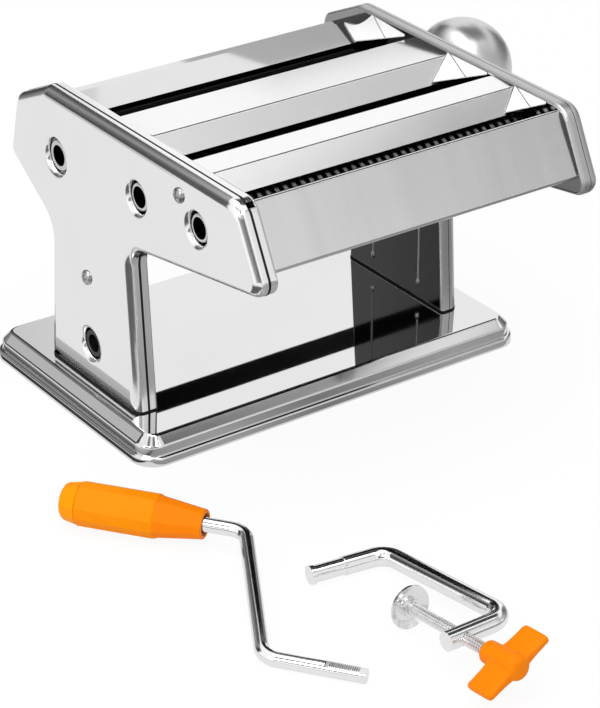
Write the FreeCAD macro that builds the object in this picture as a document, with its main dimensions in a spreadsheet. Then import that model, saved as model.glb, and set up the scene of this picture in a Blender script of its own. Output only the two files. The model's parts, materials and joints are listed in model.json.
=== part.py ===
import FreeCAD, Part
import Sketcher
import math
import os
import re

# A hand-cranked pasta roller with two cutter pairs, its crank and its table clamp.
# Millimetres. X runs along the rollers, -X is the crank side, +X the knob side.
# -Y is the front, +Z is up. The origin is the middle of the base's underside.

doc = FreeCAD.newDocument("PastaRoller")
sheet = doc.addObject("Spreadsheet::Sheet", "Sheet")
Vector = FreeCAD.Vector

SIZES = [
    # sheet metal
    ("skin", 0.9, "thickness of the pressed sheet"),
    ("fold_round", 1.5, "outer radius of a fold"),
    ("edge_round", 4.6, "outer edge radius of a pressed cover"),
    ("inner_round", 1.6, "outer edge radius of an inner frame"),
    ("end_trim", 9.5, "slanted ends of the ridges' front slopes"),
    ("seam_gap", 0.7, "shadow gap between the left cover and its frame"),
    ("right_seam", 0.3, "gap between the right cover and its frame"),
    # stations along the rollers
    ("roller_length", 150.0, "working length of every roller"),
    ("end_gap", 1.5, "roller end to inner frame"),
    ("side_shift", 4.1, "middle of the rollers, left of the base's middle"),
    ("inner_left", "=-roller_length / 2 - side_shift", "face of the left inner frame"),
    ("left_inner_depth", 4.4, "left inner frame, depth of pan"),
    ("left_outer_depth", 5.7, "left outer cover, depth of pan"),
    ("right_inner_depth", 4.2, "right inner frame, depth of pan"),
    ("right_outer_depth", 5.0, "right outer cover, depth of pan"),
    # outline of a side, seen along X
    ("top_z", 140.3, "top edge of a side"),
    ("back_top_y", 25.3, "top edge, rear end"),
    ("nose_top", 7.5, "top edge, in front of the last axis"),
    ("nose_low", 25.5, "lower tip, in front of the last axis"),
    ("nose_drop", 15.5, "lower tip, below the last axis"),
    ("arch_y", -36.6, "corner under the arm"),
    ("arch_drop", 51.3, "corner under the arm, below the top edge"),
    ("leg_front_y", -41.6, "foot of the leg, front"),
    ("leg_back_y", 29.9, "foot of the leg, rear"),
    ("waist_y", 24.6, "corner under the rear overhang"),
    ("waist_drop", 63.3, "corner under the rear overhang, below the top edge"),
    ("back_low_y", 58.3, "rear overhang, lower corner"),
    ("back_low_drop", 40.8, "rear overhang, lower corner, below the top edge"),
    ("back_high_y", 50.8, "rear overhang, upper corner"),
    ("back_high_drop", 12.0, "rear overhang, upper corner, below the top edge"),
    ("front_round", 10.0, "radius of the front top corner"),
    ("tip_round", 6.0, "radius of the lower front tip"),
    ("arch_round", 10.0, "radius under the arm"),
    ("waist_round", 14.0, "radius under the overhang"),
    ("corner_round", 6.0, "radius of the other corners"),
    # base
    ("base_over", 52.0, "base, longer than the rollers"),
    ("base_length", "=roller_length + base_over", "base, along the rollers"),
    ("base_width", 131.0, "front to back"),
    ("base_top", 12.4, "height of the base"),
    ("rim_step", 4.2, "height of the outer lip"),
    ("rim_inset", 1.8, "second ridge inside the lip"),
    ("top_inset", 6.0, "top plate inside the lip"),
    ("base_round", 11.0, "corner radius of the base"),
    ("floor_sheet", 1.2, "thickness of the bottom plate"),
    # the line that carries all the roller axes
    ("drive_y", 17.9, "axis of the rear smooth roller"),
    ("axis_drop", 29.4, "axis of the rear smooth roller, below the top edge"),
    ("drive_z", "=top_z - axis_drop", "axis of the rear smooth roller"),
    ("line_rise", 0.0766, "rise of the line per mm towards the front"),
    ("pair_rise", 0.185, "rise of the smooth pair per mm towards the front"),
    ("roller_radius", 16.0, "smooth rollers"),
    ("roller_gap", 0.2, "gap of the smooth rollers at its closest"),
    ("main_teeth", 23.0, "teeth of a smooth roller's gear"),
    ("cutter_radius", 10.4, "rings of the cutter rollers"),
    ("ring_depth", 1.6, "depth of the grooves between the rings"),
    ("ring_overlap", 0.85, "rings of one cutter reach into the other"),
    ("cutter_teeth", 19.0, "teeth of a cutter's gear"),
    ("wide_space", 5.4, "front smooth roller to wide cutter"),
    ("narrow_space", 3.65, "wide cutter to narrow cutter"),
    ("wide_strip", 6.5, "width cut by the wide cutter"),
    ("narrow_strip", 2.1, "width cut by the narrow cutter"),
    ("ring_play", 0.3, "side clearance of the rings"),
    ("backlash", 0.35, "play of the gear teeth"),
    # shafts and sockets
    ("shaft", 10.0, "diameter of the roller journals"),
    ("hub", 13.6, "diameter of a drive socket's hub"),
    ("hub_recess", 1.9, "hub behind the cover's face"),
    ("bush_wall", 2.2, "wall of a bearing bush"),
    ("bush_length", 3.2, "length of a bearing bush"),
    ("run_play", 0.05, "radial clearance of a running fit"),
    ("lip_gap", 1.0, "hub in a drive opening's rolled lip"),
    ("lip_round", 2.5, "outer radius of a rolled lip"),
    ("lip_depth", 4.0, "depth of a rolled lip"),
    ("rod", 6.0, "diameter of the crank's rod"),
    ("rod_play", 0.15, "radial clearance of a rod in its socket"),
    ("socket_depth", 24.0, "depth of a drive socket"),
    ("mouth", 9.0, "diameter of the round mouth of a drive socket"),
    ("mouth_depth", 4.3, "depth of that mouth, before the flat"),
    ("flat_depth", 0.8, "flat on the crank's drive end"),
    ("flat_length", 16.0, "flat on the crank's drive end, along the rod"),
    ("small_hub", 12.0, "diameter of a cutter's drive hub"),
    ("gear_width", 2.6, "width of every gear"),
    ("clamp_y", -4.8, "clamp socket in the left leg"),
    ("clamp_z", 30.9, "clamp socket in the left leg"),
    # thickness setting
    ("eccentric_radius", 6.0, "eccentric of the knob's spindle"),
    ("eccentric_offset", 1.35, "throw of the eccentric"),
    ("yoke_play", 0.25, "eccentric in its yoke"),
    ("slot_play", 0.3, "sliding blocks in their slots"),
    ("boss", 15.0, "boss of a sliding block"),
    ("spindle", 10.0, "spindle in the index plate"),
    ("spindle_end", 8.0, "spindle in the knob"),
    ("knob_radius", 22.5, "knob"),
    ("knob_gap", 3.0, "knob off the cover"),
    ("knob_length", 38.3, "length of the knob"),
    ("index_radius", 15.0, "index plate"),
    ("index_sheet", 2.2, "thickness of the index plate"),
    # screws and tie rods
    ("screw", 3.0, "diameter of the small screws"),
    ("screw_head", 6.6, "head of the small screws"),
    ("tie", 6.0, "diameter of the tie rods"),
    ("leg_screw", 2.4, "diameter of the screws under the legs"),
    # crank
    ("tip_x", -115.8, "drive tip of the crank, where it lies"),
    ("tip_y_floor", -240.3, "drive tip of the crank, where it lies"),
    ("crank_heading", 126.9, "heading of the crank's axes in degrees"),
    ("drive_length", 40.4, "drive end up to the bend"),
    ("arm_run", 31.0, "arm, along the axes"),
    ("throw", 72.0, "arm, across the axes"),
    ("bend_round", 9.0, "inside of the bends, on the rod's middle line"),
    ("stub_length", 17.0, "bend up to the grip"),
    ("grip_length", 61.0, "grip"),
    ("grip_radius", 9.4, "grip at its thickest"),
    ("neck_radius", 6.3, "grip at its neck"),
    # clamp
    ("clamp_tip_x", -94.3, "clamp's pin end, where it lies"),
    ("clamp_tip_y", -173.8, "clamp's pin end, where it lies"),
    ("clamp_heading", -8.0, "heading of the clamp's upper arm in degrees"),
    ("clamp_skew", 9.0, "screw and lower arm turned from the upper arm in degrees"),
    ("clamp_rod", 7.8, "diameter of the clamp's rod"),
    ("clamp_reach", 34.0, "upper arm of the clamp"),
    ("clamp_low_reach", 29.7, "lower arm of the clamp"),
    ("clamp_far", 35.7, "lower bend, from the pin end"),
    ("clamp_span", 77.0, "between the clamp's arms"),
    ("clamp_bend", 8.0, "bends of the clamp, on the rod's middle line"),
    ("screw_x", 13.0, "clamp screw, from the pin end"),
    ("clamp_screw", 5.0, "diameter of the clamp screw"),
    ("disc_radius", 8.8, "pressure disc"),
    ("disc_at", 46.0, "pressure disc, from the upper arm"),
    ("wing_at", 92.6, "wing knob's hub, from the upper arm"),
    ("wing_span", 32.2, "wing knob, tip to tip"),
    ("wing_width", 14.4, "wing knob, along the screw"),
    ("wing_angle", 25.0, "wing knob, turned about the screw in degrees"),
]

CELLS = {}
for number, (name, value, note) in enumerate(SIZES, 1):
    sheet.set("A%d" % number, name)
    sheet.set("B%d" % number, str(value))
    sheet.set("C%d" % number, note)
    sheet.setAlias("B%d" % number, name)
    CELLS[name] = value
doc.recompute()

nodes = []


def bind(text):
    """Write the sheet's name before each cell name of an expression."""
    def named(found):
        word = found.group()
        return "Sheet." + word if word in CELLS else word
    return re.sub(r"[a-z][a-z_]*", named, str(text))


def val(text):
    """Value of an expression, in millimetres."""
    return float(sheet.evalExpression(bind(text)))


def loose_body(label):
    """A body whose place is set at the end."""
    body = doc.addObject("PartDesign::Body", label)
    body.Label = label
    nodes.append(body)
    return body


def new_body(label, x="0", y="0", z="0", turn=0.0):
    """A body placed by expressions, turned about X by an angle in degrees."""
    body = loose_body(label)
    body.Placement = FreeCAD.Placement(Vector(0, 0, 0), FreeCAD.Rotation(Vector(1, 0, 0), turn))
    for axis, text in zip("xyz", (x, y, z)):
        body.setExpression("Placement.Base." + axis, bind(text))
    return body


def new_sketch(body, role, offset="0"):
    """A sketch on one of the body's own planes, moved along its normal."""
    sketch = body.newObject("Sketcher::SketchObject", body.Label + "_sketch")
    plane = next(item for item in body.Origin.OriginFeatures if item.Role == role)
    sketch.AttachmentSupport = [(plane, "")]
    sketch.MapMode = "FlatFace"
    sketch.setExpression("AttachmentOffset.Base.z", bind(offset))
    return sketch


def limit(sketch, text, kind, *where):
    """Add a dimension whose value is an expression."""
    number = sketch.addConstraint(Sketcher.Constraint(kind, *where, val(text)))
    sketch.setExpression("Constraints[%d]" % number, bind(text))


def hold(sketch, item, end, u, v):
    """Hold a sketch point at two coordinates."""
    for kind, text, axis in (("DistanceX", u, -2), ("DistanceY", v, -1)):
        if str(text) == "0":
            sketch.addConstraint(Sketcher.Constraint("PointOnObject", item, end, axis))
        else:
            limit(sketch, text, kind, -1, 1, item, end)


def circle(sketch, u, v, diameter):
    """A full circle held by its centre and its diameter."""
    middle = Vector(val(u), val(v), 0)
    item = sketch.addGeometry(Part.Circle(middle, Vector(0, 0, 1), val(diameter) / 2))
    hold(sketch, item, 3, u, v)
    limit(sketch, diameter, "Diameter", item)


def corner_points(points, radii):
    """Tangent points and arc middle of every rounded corner."""
    found = []
    for i, point in enumerate(points):
        before = (points[i - 1] - point)
        after = (points[(i + 1) % len(points)] - point)
        before.normalize()
        after.normalize()
        if radii[i] <= 0:
            found.append((point, None, point))
            continue
        half = before.getAngle(after) / 2
        reach = radii[i] / math.tan(half)
        bisector = before + after
        bisector.normalize()
        middle = point + bisector * (radii[i] / math.sin(half) - radii[i])
        found.append((point + before * reach, middle, point + after * reach))
    return found


def bend(sketch, before, after, point, mark, corner):
    """Join two lines at a corner, by an arc where the corner has a radius."""
    u, v, radius = corner
    first, middle, last = mark
    if middle is None:
        sketch.addConstraint(Sketcher.Constraint("Coincident", before, 2, after, 1))
        if u is not None:
            hold(sketch, after, 1, u, v)
        return
    arc = sketch.addGeometry(Part.Arc(first, middle, last))
    near = 1 if sketch.getPoint(arc, 1).distanceToPoint(first) < 1e-6 else 2
    sketch.addConstraint(Sketcher.Constraint("Tangent", before, 2, arc, near))
    sketch.addConstraint(Sketcher.Constraint("Tangent", arc, 3 - near, after, 1))
    limit(sketch, radius, "Radius", arc)
    if u is not None:
        target = sketch.addGeometry(Part.Point(point), True)
        sketch.addConstraint(Sketcher.Constraint("PointOnObject", target, 1, before))
        sketch.addConstraint(Sketcher.Constraint("PointOnObject", target, 1, after))
        hold(sketch, target, 1, u, v)


def loop(sketch, corners):
    """A closed outline through corners (u, v, radius), each held by expressions."""
    points = [Vector(val(u), val(v), 0) for u, v, radius in corners]
    return outline(sketch, points, corners)


def outline(sketch, points, corners):
    """Lines and arcs of a closed outline; a corner with u None is left free."""
    count = len(points)
    radii = [val(corner[2]) for corner in corners]
    marks = corner_points(points, radii)
    lines = []
    for i in range(count):
        start = marks[i][2]
        end = marks[(i + 1) % count][0]
        lines.append(sketch.addGeometry(Part.LineSegment(start, end)))
    for i in range(count):
        bend(sketch, lines[i - 1], lines[i], points[i], marks[i], corners[i])
    return lines


def feature(body, kind, sketch, length=None, back=False):
    """A pad, pocket or similar feature of one sketch."""
    item = body.newObject("PartDesign::" + kind, body.Label + "_" + kind.lower())
    item.Profile = sketch
    if length is not None:
        item.setExpression("Length", bind(length))
        item.Reversed = back
    return item


def pad(body, sketch, length, back=False):
    return feature(body, "Pad", sketch, length, back)


def pocket(body, sketch, length, back=False):
    """Cut along the sketch's normal, and make sure that something was cut."""
    doc.recompute()
    before = body.Shape.Volume
    item = feature(body, "Pocket", sketch, length, not back)
    doc.recompute()
    if body.Shape.Volume > before - 1e-3:
        raise ValueError("nothing was cut from " + body.Label)
    return item


def turned(body, sketch, kind="Revolution", axis="H_Axis"):
    """Turn a half section all the way round the sketch's own axis."""
    item = feature(body, kind, sketch)
    item.ReferenceAxis = (sketch, [axis])
    item.Angle = 360
    return item


def rounded(body, base, names, radius, kind="Fillet"):
    """Round or chamfer named edges of a feature."""
    item = body.newObject("PartDesign::" + kind, body.Label + "_" + kind.lower())
    item.Base = (base, names)
    item.setExpression("Radius" if kind == "Fillet" else "Size", bind(radius))
    return item


def edges_where(item, test):
    """Names of the edges whose every end point passes the test."""
    names = []
    for number, edge in enumerate(item.Shape.Edges, 1):
        if all(test(vertex.Point) for vertex in edge.Vertexes):
            names.append("Edge%d" % number)
    return names


def spin(label, section, y, z, x="0", turn=0.0):
    """A turned piece about an axis along X; the section is (x, radius, rounding)."""
    body = new_body(label, x, y, z, turn)
    sketch = new_sketch(body, "XZ_Plane")
    loop(sketch, section)
    turned(body, sketch)
    return body


def spot(along, across="0", rise="line_rise"):
    """Y and Z of a point on the roller line, or beside it."""
    run = "(1 / sqrt(1 + %s ^ 2))" % rise
    y = "drive_y - (%s) * %s + (%s) * %s * %s" % (along, run, across, rise, run)
    z = "drive_z + (%s) * %s * %s + (%s) * %s" % (along, rise, run, across, run)
    return y, z


TILT = -math.degrees(math.atan(val("line_rise")))
PAIR_TILT = -math.degrees(math.atan(val("pair_rise")))
INNER_RIGHT = "(inner_left + roller_length + 2 * end_gap)"
LEFT_FACE = "(inner_left - left_inner_depth - seam_gap - left_outer_depth)"
RIGHT_FACE = "(inner_left + roller_length + 2 * end_gap + right_inner_depth + right_seam + right_outer_depth)"
PAIR = "(2 * roller_radius + roller_gap)"
CUTTER_PAIR = "(2 * cutter_radius - ring_overlap)"
CORE = "(cutter_radius - ring_depth)"
WIDE_OUT = "(%s + roller_radius + cutter_radius + wide_space)" % PAIR
NARROW_OUT = "(%s + %s + 2 * cutter_radius + narrow_space)" % (WIDE_OUT, CUTTER_PAIR)
REAR = spot("0")
FRONT = spot(PAIR, "0", "pair_rise")
WIDE_REAR = spot(WIDE_OUT)
WIDE_FRONT = spot("%s + %s" % (WIDE_OUT, CUTTER_PAIR))
NARROW_REAR = spot(NARROW_OUT)
NARROW_FRONT = spot("%s + %s" % (NARROW_OUT, CUTTER_PAIR))
CUTTERS = [WIDE_REAR, WIDE_FRONT, NARROW_REAR, NARROW_FRONT]
FRONT_TOP = "(%s - nose_top)" % NARROW_FRONT[0]

SIDE = [
    ("back_top_y", "top_z", "corner_round"),
    (FRONT_TOP, "top_z", "front_round"),
    (NARROW_FRONT[0] + " - nose_low", NARROW_FRONT[1] + " - nose_drop", "tip_round"),
    ("arch_y", "top_z - arch_drop", "arch_round"),
    ("leg_front_y", "base_top", "0"),
    ("leg_back_y", "base_top", "0"),
    ("waist_y", "top_z - waist_drop", "waist_round"),
    ("back_low_y", "top_z - back_low_drop", "corner_round"),
    ("back_high_y", "top_z - back_high_drop", "corner_round"),
]


def pan(label, x, depth, edge, inward):
    """A pressed tray with the outline of a side, open towards -X or +X."""
    body = new_body(label, x)
    sketch = new_sketch(body, "YZ_Plane")
    loop(sketch, SIDE)
    block = pad(body, sketch, depth, back=inward < 0)
    doc.recompute()
    rim = edges_where(block, lambda p: abs(p.x) < 1e-4)
    soft = rounded(body, block, rim, edge)
    doc.recompute()
    mouth = inward * val(depth)
    for number, face in enumerate(soft.Shape.Faces, 1):
        box = face.BoundBox
        if abs(box.XMin - mouth) < 1e-4 and abs(box.XMax - mouth) < 1e-4:
            opening = "Face%d" % number
    hollow = body.newObject("PartDesign::Thickness", label + "_shell")
    hollow.Base = (soft, [opening])
    hollow.setExpression("Value", bind("skin"))
    hollow.Reversed = True
    hollow.Join = 0
    doc.recompute()
    return body


def openings(body, places, depth, back=False):
    """Round holes through a side, each (y, z, diameter)."""
    sketch = new_sketch(body, "YZ_Plane")
    for y, z, diameter in places:
        circle(sketch, y, z, diameter)
    return pocket(body, sketch, depth, back)


def slot(sketch, along, length, width):
    """A round-ended slot along the line of the smooth pair."""
    ends = [("+", "+"), ("+", "-"), ("-", "-"), ("-", "+")]
    corners = []
    for far, side in ends:
        y, z = spot("%s %s (%s) / 2" % (along, far, length), "%s (%s) / 2" % (side, width), "pair_rise")
        corners.append((y, z, "(%s) / 2 - 0.01" % width))
    loop(sketch, corners)


def lip(body, y, z, bore):
    """The rolled-in lip of an opening, turned about the opening's axis."""
    sketch = new_sketch(body, "XY_Plane", z)
    line = sketch.addGeometry(Part.LineSegment(Vector(0, val(y), 0), Vector(9, val(y), 0)), True)
    hold(sketch, line, 1, "0", y)
    hold(sketch, line, 2, "9", y)
    inner = "%s + (%s) / 2" % (y, bore)
    loop(sketch, [
        ("0", inner + " + lip_round", "0"),
        ("0", inner, "lip_round - 0.02"),
        ("lip_depth", inner, "0"),
        ("lip_depth", inner + " + skin", "0"),
        ("skin", inner + " + skin", "lip_round - skin - 0.02"),
        ("skin", inner + " + lip_round", "0"),
    ])
    turned(body, sketch, axis="Axis0")


STROKE = "(2 * eccentric_offset * 0.9063)"
KNOB = spot(PAIR + " + eccentric_offset * 0.9063", "0", "pair_rise")
COVER_SCREWS = [(NARROW_REAR[0] + " + cutter_radius + 1.1", NARROW_REAR[1] + " + cutter_radius"),
                ("clamp_y + 0.2", "clamp_z + 32.2")]
LEG_Y = ("leg_front_y + 15.6", "leg_back_y - 17.9")
LEG_SCREWS = [(x, y) for x in ("inner_left - left_inner_depth / 2 - 0.6",
                               INNER_RIGHT + " + right_inner_depth / 2 + 0.6")
              for y in LEG_Y]
TIES = [("drive_y + roller_radius + 8.1", "drive_z - 4.9"),
        (NARROW_FRONT[0] + " - cutter_radius - 1", NARROW_FRONT[1] + " - 8.2")]
BUSH = "(shaft + 2 * run_play + 2 * bush_wall)"
BAR = ("0.9 * roller_radius", "-(roller_radius - 1)")

# pressed covers and inner frames
cover = pan("left_outer_cover", LEFT_FACE, "left_outer_depth", "edge_round", 1)
drives = [(REAR, "hub + 2 * lip_gap"), (WIDE_REAR, "small_hub + 2 * lip_gap - 0.2"), (NARROW_REAR, "small_hub + 2 * lip_gap - 0.2"),
          (("clamp_y", "clamp_z"), "small_hub + 2 * lip_gap - 0.2")]
places = [(at[0], at[1], bore + " + 2 * lip_round") for at, bore in drives]
places += [(y, z, "screw + 0.2") for y, z in COVER_SCREWS]
openings(cover, places, "2")
for at, bore in drives:
    lip(cover, at[0], at[1], bore)

shared = [(at[0], at[1], BUSH) for at in [REAR] + CUTTERS]
shared += [(y, z, "tie") for y, z in TIES]
for side, x, depth, inward in (("left", "inner_left", "left_inner_depth", -1),
                               ("right", INNER_RIGHT, "right_inner_depth", 1)):
    frame = pan(side + "_inner_frame", x, depth, "inner_round", inward)
    places = shared + [(y, z, "screw") for y, z in COVER_SCREWS]
    if side == "left":
        places.append(("clamp_y", "clamp_z", "small_hub"))
    openings(frame, places, "2", inward < 0)
    sketch = new_sketch(frame, "YZ_Plane")
    slot(sketch, PAIR + " + %s / 2" % STROKE, "boss + 2 * slot_play + " + STROKE, "boss + 2 * slot_play")
    pocket(frame, sketch, "2", inward < 0)
    sketch = new_sketch(frame, "YZ_Plane")
    corners = []
    for a, b in (("-3", "-3"), ("3 + " + STROKE, "-3"), ("3 + " + STROKE, "3"), ("-3", "3")):
        y, z = spot("%s + %s + %s" % (PAIR, BAR[0], a), "%s + %s" % (BAR[1], b), "pair_rise")
        corners.append((y, z, "0"))
    loop(sketch, corners)
    pocket(frame, sketch, "2", inward < 0)
    # holes for the leg screws, and the notch in the left frame's front corner
    sketch = new_sketch(frame, "XY_Plane", "base_top")
    middle = "-left_inner_depth / 2 - 0.6" if inward < 0 else "right_inner_depth / 2 + 0.6"
    for y in LEG_Y:
        circle(sketch, middle, y, "leg_screw")
    pocket(frame, sketch, "skin + 1")
    if side == "left":
        sketch = new_sketch(frame, "YZ_Plane", "-inner_round")
        low, high = "top_z - 3.3", "top_z + 1"
        near, far = FRONT_TOP + " + 2.2", FRONT_TOP + " - 1"
        loop(sketch, [(near, low, "0"), (near, high, "0"), (far, high, "0"), (far, low, "0")])
        pocket(frame, sketch, "left_inner_depth", True)

cover = pan("right_outer_cover", RIGHT_FACE, "right_outer_depth", "edge_round", -1)
places = [(KNOB[0], KNOB[1], "spindle + 6")]
places += [(y, z, "screw + 0.2") for y, z in COVER_SCREWS]
openings(cover, places, "2", True)


def folded(label, corners, side):
    """Folded sheet between the inner frames; the corners are its outer line."""
    body = new_body(label, "inner_left")
    sketch = new_sketch(body, "YZ_Plane")
    points = [Vector(val(y), val(z), 0) for y, z in corners]
    count = len(points)
    ways = []
    for first, last in zip(points, points[1:]):
        way = last - first
        way.normalize()
        ways.append(way)
    inside = []
    turns = []
    for i, point in enumerate(points):
        before = ways[max(i - 1, 0)]
        after = ways[min(i, count - 2)]
        normal = Vector(-before.y - after.y, before.x + after.x, 0)
        normal.normalize()
        reach = val("skin") / normal.dot(Vector(-after.y, after.x, 0))
        inside.append(point + normal * (side * reach))
        turns.append(side * (before.x * after.y - before.y * after.x))
    wide = ["0" if abs(turn) < 1e-6 else "fold_round" if turn > 0 else "fold_round - skin" for turn in turns]
    tight = ["0" if abs(turn) < 1e-6 else "fold_round - skin" if turn > 0 else "fold_round" for turn in turns]
    held = [(y, z, radius) for (y, z), radius in zip(corners, wide)]
    free = [(None, None, radius) for radius in reversed(tight)]
    lines = outline(sketch, points + inside[::-1], held + free)
    for i in range(count - 1):
        other = lines[2 * count - 2 - i]
        sketch.addConstraint(Sketcher.Constraint("Parallel", lines[i], other))
        limit(sketch, "skin", "Distance", other, 1, lines[i])
    sketch.addConstraint(Sketcher.Constraint("Perpendicular", lines[count - 1], lines[count - 2]))
    sketch.addConstraint(Sketcher.Constraint("Perpendicular", lines[2 * count - 1], lines[0]))
    pad(body, sketch, "roller_length + 2 * end_gap")
    return body


# the covers between the two sides
above = "%s + cutter_radius + %s"
folded("rear_cover", [
    ("drive_y - 4.2", "drive_z + roller_radius + 1.5"),
    ("back_high_y - 14.3", "drive_z + roller_radius + 1.7"),
    ("back_high_y - 9.3", "drive_z + roller_radius + 1.4"),
    ("back_high_y - 3.6", "top_z - back_high_drop - 6.3"),
    ("back_low_y - 3.8", "top_z - back_low_drop + 3.5"),
], -1)
ridges = []
ridges.append(folded("middle_ridge_cover", [
    (FRONT[0] + " + 3.6", FRONT[1] + " + roller_radius + 0.8"),
    (FRONT[0] + " + 2.8", FRONT[1] + " + roller_radius + 3.2"),
    (WIDE_REAR[0] + " + 6.3", above % (WIDE_REAR[1], "11.7")),
    (WIDE_REAR[0] + " + 0.1", above % (WIDE_REAR[1], "2.5")),
], 1))
ridges.append(folded("front_ridge_cover", [
    (WIDE_FRONT[0] + " - 3.8", above % (WIDE_FRONT[1], "4.3")),
    (WIDE_FRONT[0] + " - 4.5", above % (WIDE_FRONT[1], "11.3")),
    (NARROW_REAR[0] + " + 5.2", above % (NARROW_REAR[1], "8.8")),
    (NARROW_REAR[0] + " - 2.6", above % (NARROW_REAR[1], "0.9")),
], 1))
folded("front_panel", [
    (NARROW_FRONT[0] + " - 0.5", above % (NARROW_FRONT[1], "2.1")),
    (NARROW_FRONT[0] + " - 4.2", above % (NARROW_FRONT[1], "8.4")),
    (NARROW_FRONT[0] + " - cutter_radius - 8.7", NARROW_FRONT[1] + " - 7.9"),
    (NARROW_FRONT[0] + " - cutter_radius - 5.3", NARROW_FRONT[1] + " - 10.1"),
], 1)


def trimmed(body, high, low):
    """Cut the ends of a ridge's front slope back towards its lower edge."""
    sketch = new_sketch(body, "XY_Plane", "top_z")
    length = "roller_length + 2 * end_gap"
    for end, back in (("0", "end_trim"), (length, length + " - end_trim")):
        loop(sketch, [(end, high, "0"), (end, low + " - 3", "0"), (back, low + " - 3", "0"), (back, low, "0")])
    pocket(body, sketch, "top_z - base_top", True)


trimmed(ridges[0], WIDE_REAR[0] + " + 6", WIDE_REAR[0])
trimmed(ridges[1], NARROW_REAR[0] + " + 4.9", NARROW_REAR[0] + " - 2.6")


def base_outline(sketch, inset, radius):
    """The base's rounded rectangle, moved inwards."""
    signs = [(1, 1), (-1, 1), (-1, -1), (1, -1)]
    corners = []
    for a, b in signs:
        u = "%d * (base_length / 2 - (%s))" % (a, inset)
        v = "%d * (base_width / 2 - (%s))" % (b, inset)
        corners.append((u, v, radius))
    loop(sketch, corners)


# the pressed base and the plate that closes it
base = new_body("base_plate")
sketch = new_sketch(base, "XY_Plane")
base_outline(sketch, "0", "base_round")
pad(base, sketch, "rim_step")
sketch = new_sketch(base, "XY_Plane", "rim_step")
base_outline(sketch, "rim_inset", "base_round - rim_inset")
pad(base, sketch, "4")
sketch = new_sketch(base, "XY_Plane", "rim_step + 4")
base_outline(sketch, "rim_inset", "base_round - rim_inset")
slope = pad(base, sketch, "base_top - rim_step - 4")
slope.setExpression("TaperAngle", bind("-atan((top_inset - rim_inset) / (base_top - rim_step - 4))"))
doc.recompute()
levels = [val("rim_step"), val("rim_step + 4"), val("base_top")]


def outside(item, level, inset):
    """Edges at one height that lie on the outline with one inset."""
    names = []
    far_x = val("base_length / 2") - inset
    far_y = val("base_width / 2") - inset
    for number, edge in enumerate(item.Shape.Edges, 1):
        if all(abs(v.Point.z - level) < 1e-3 for v in edge.Vertexes):
            box = edge.BoundBox
            reach_x = max(abs(box.XMin), abs(box.XMax))
            reach_y = max(abs(box.YMin), abs(box.YMax))
            if abs(reach_x - far_x) < 0.05 or abs(reach_y - far_y) < 0.05:
                names.append("Edge%d" % number)
    return names


lip = rounded(base, slope, outside(slope, levels[0], 0.0), "1.5")
doc.recompute()
names = outside(lip, levels[1], val("rim_inset")) + outside(lip, levels[2], val("top_inset"))
rounded(base, lip, names, "2")
sketch = new_sketch(base, "XY_Plane")
base_outline(sketch, "rim_inset + skin", "base_round - rim_inset - skin")
pocket(base, sketch, "rim_step + 4 - skin")
sketch = new_sketch(base, "XY_Plane")
base_outline(sketch, "top_inset + skin", "base_round - top_inset - skin")
pocket(base, sketch, "base_top - skin")
sketch = new_sketch(base, "XY_Plane")
for x, y in LEG_SCREWS:
    circle(sketch, x, y, "leg_screw")
pocket(base, sketch, "base_top + 1")

bottom = new_body("base_bottom_plate")
sketch = new_sketch(bottom, "XY_Plane")
base_outline(sketch, "rim_inset + skin", "base_round - rim_inset - skin")
pad(bottom, sketch, "floor_sheet")

# rollers
LEFT_HUB = "(%s + hub_recess)" % LEFT_FACE
GEAR_LEFT = "(%s + lip_depth + 0.6)" % LEFT_FACE
ROLL_LEFT = "(inner_left + end_gap)"
ROLL_RIGHT = "(inner_left + end_gap + roller_length)"
SHAFT_RIGHT = "(%s + skin + 2.3)" % INNER_RIGHT
ROLL_MIDDLE = "(inner_left + end_gap + roller_length / 2)"


def dee(sketch, diameter, flat):
    """A circle with one flat, the section of a drive end or of its socket."""
    radius = val(diameter) / 2
    height = val(flat)
    angle = math.asin(height / radius)
    reach = radius * math.cos(angle)
    ring = Part.Circle(Vector(0, 0, 0), Vector(0, 0, 1), radius)
    arc = sketch.addGeometry(Part.ArcOfCircle(ring, math.pi - angle, 2 * math.pi + angle))
    line = sketch.addGeometry(Part.LineSegment(Vector(reach, height, 0), Vector(-reach, height, 0)))
    sketch.addConstraint(Sketcher.Constraint("Coincident", arc, 2, line, 1))
    sketch.addConstraint(Sketcher.Constraint("Coincident", line, 2, arc, 1))
    sketch.addConstraint(Sketcher.Constraint("Coincident", arc, 3, -1, 1))
    sketch.addConstraint(Sketcher.Constraint("Horizontal", line))
    limit(sketch, "(%s) / 2" % diameter, "Radius", arc)
    limit(sketch, flat, "DistanceY", -1, 1, line, 1)


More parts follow.
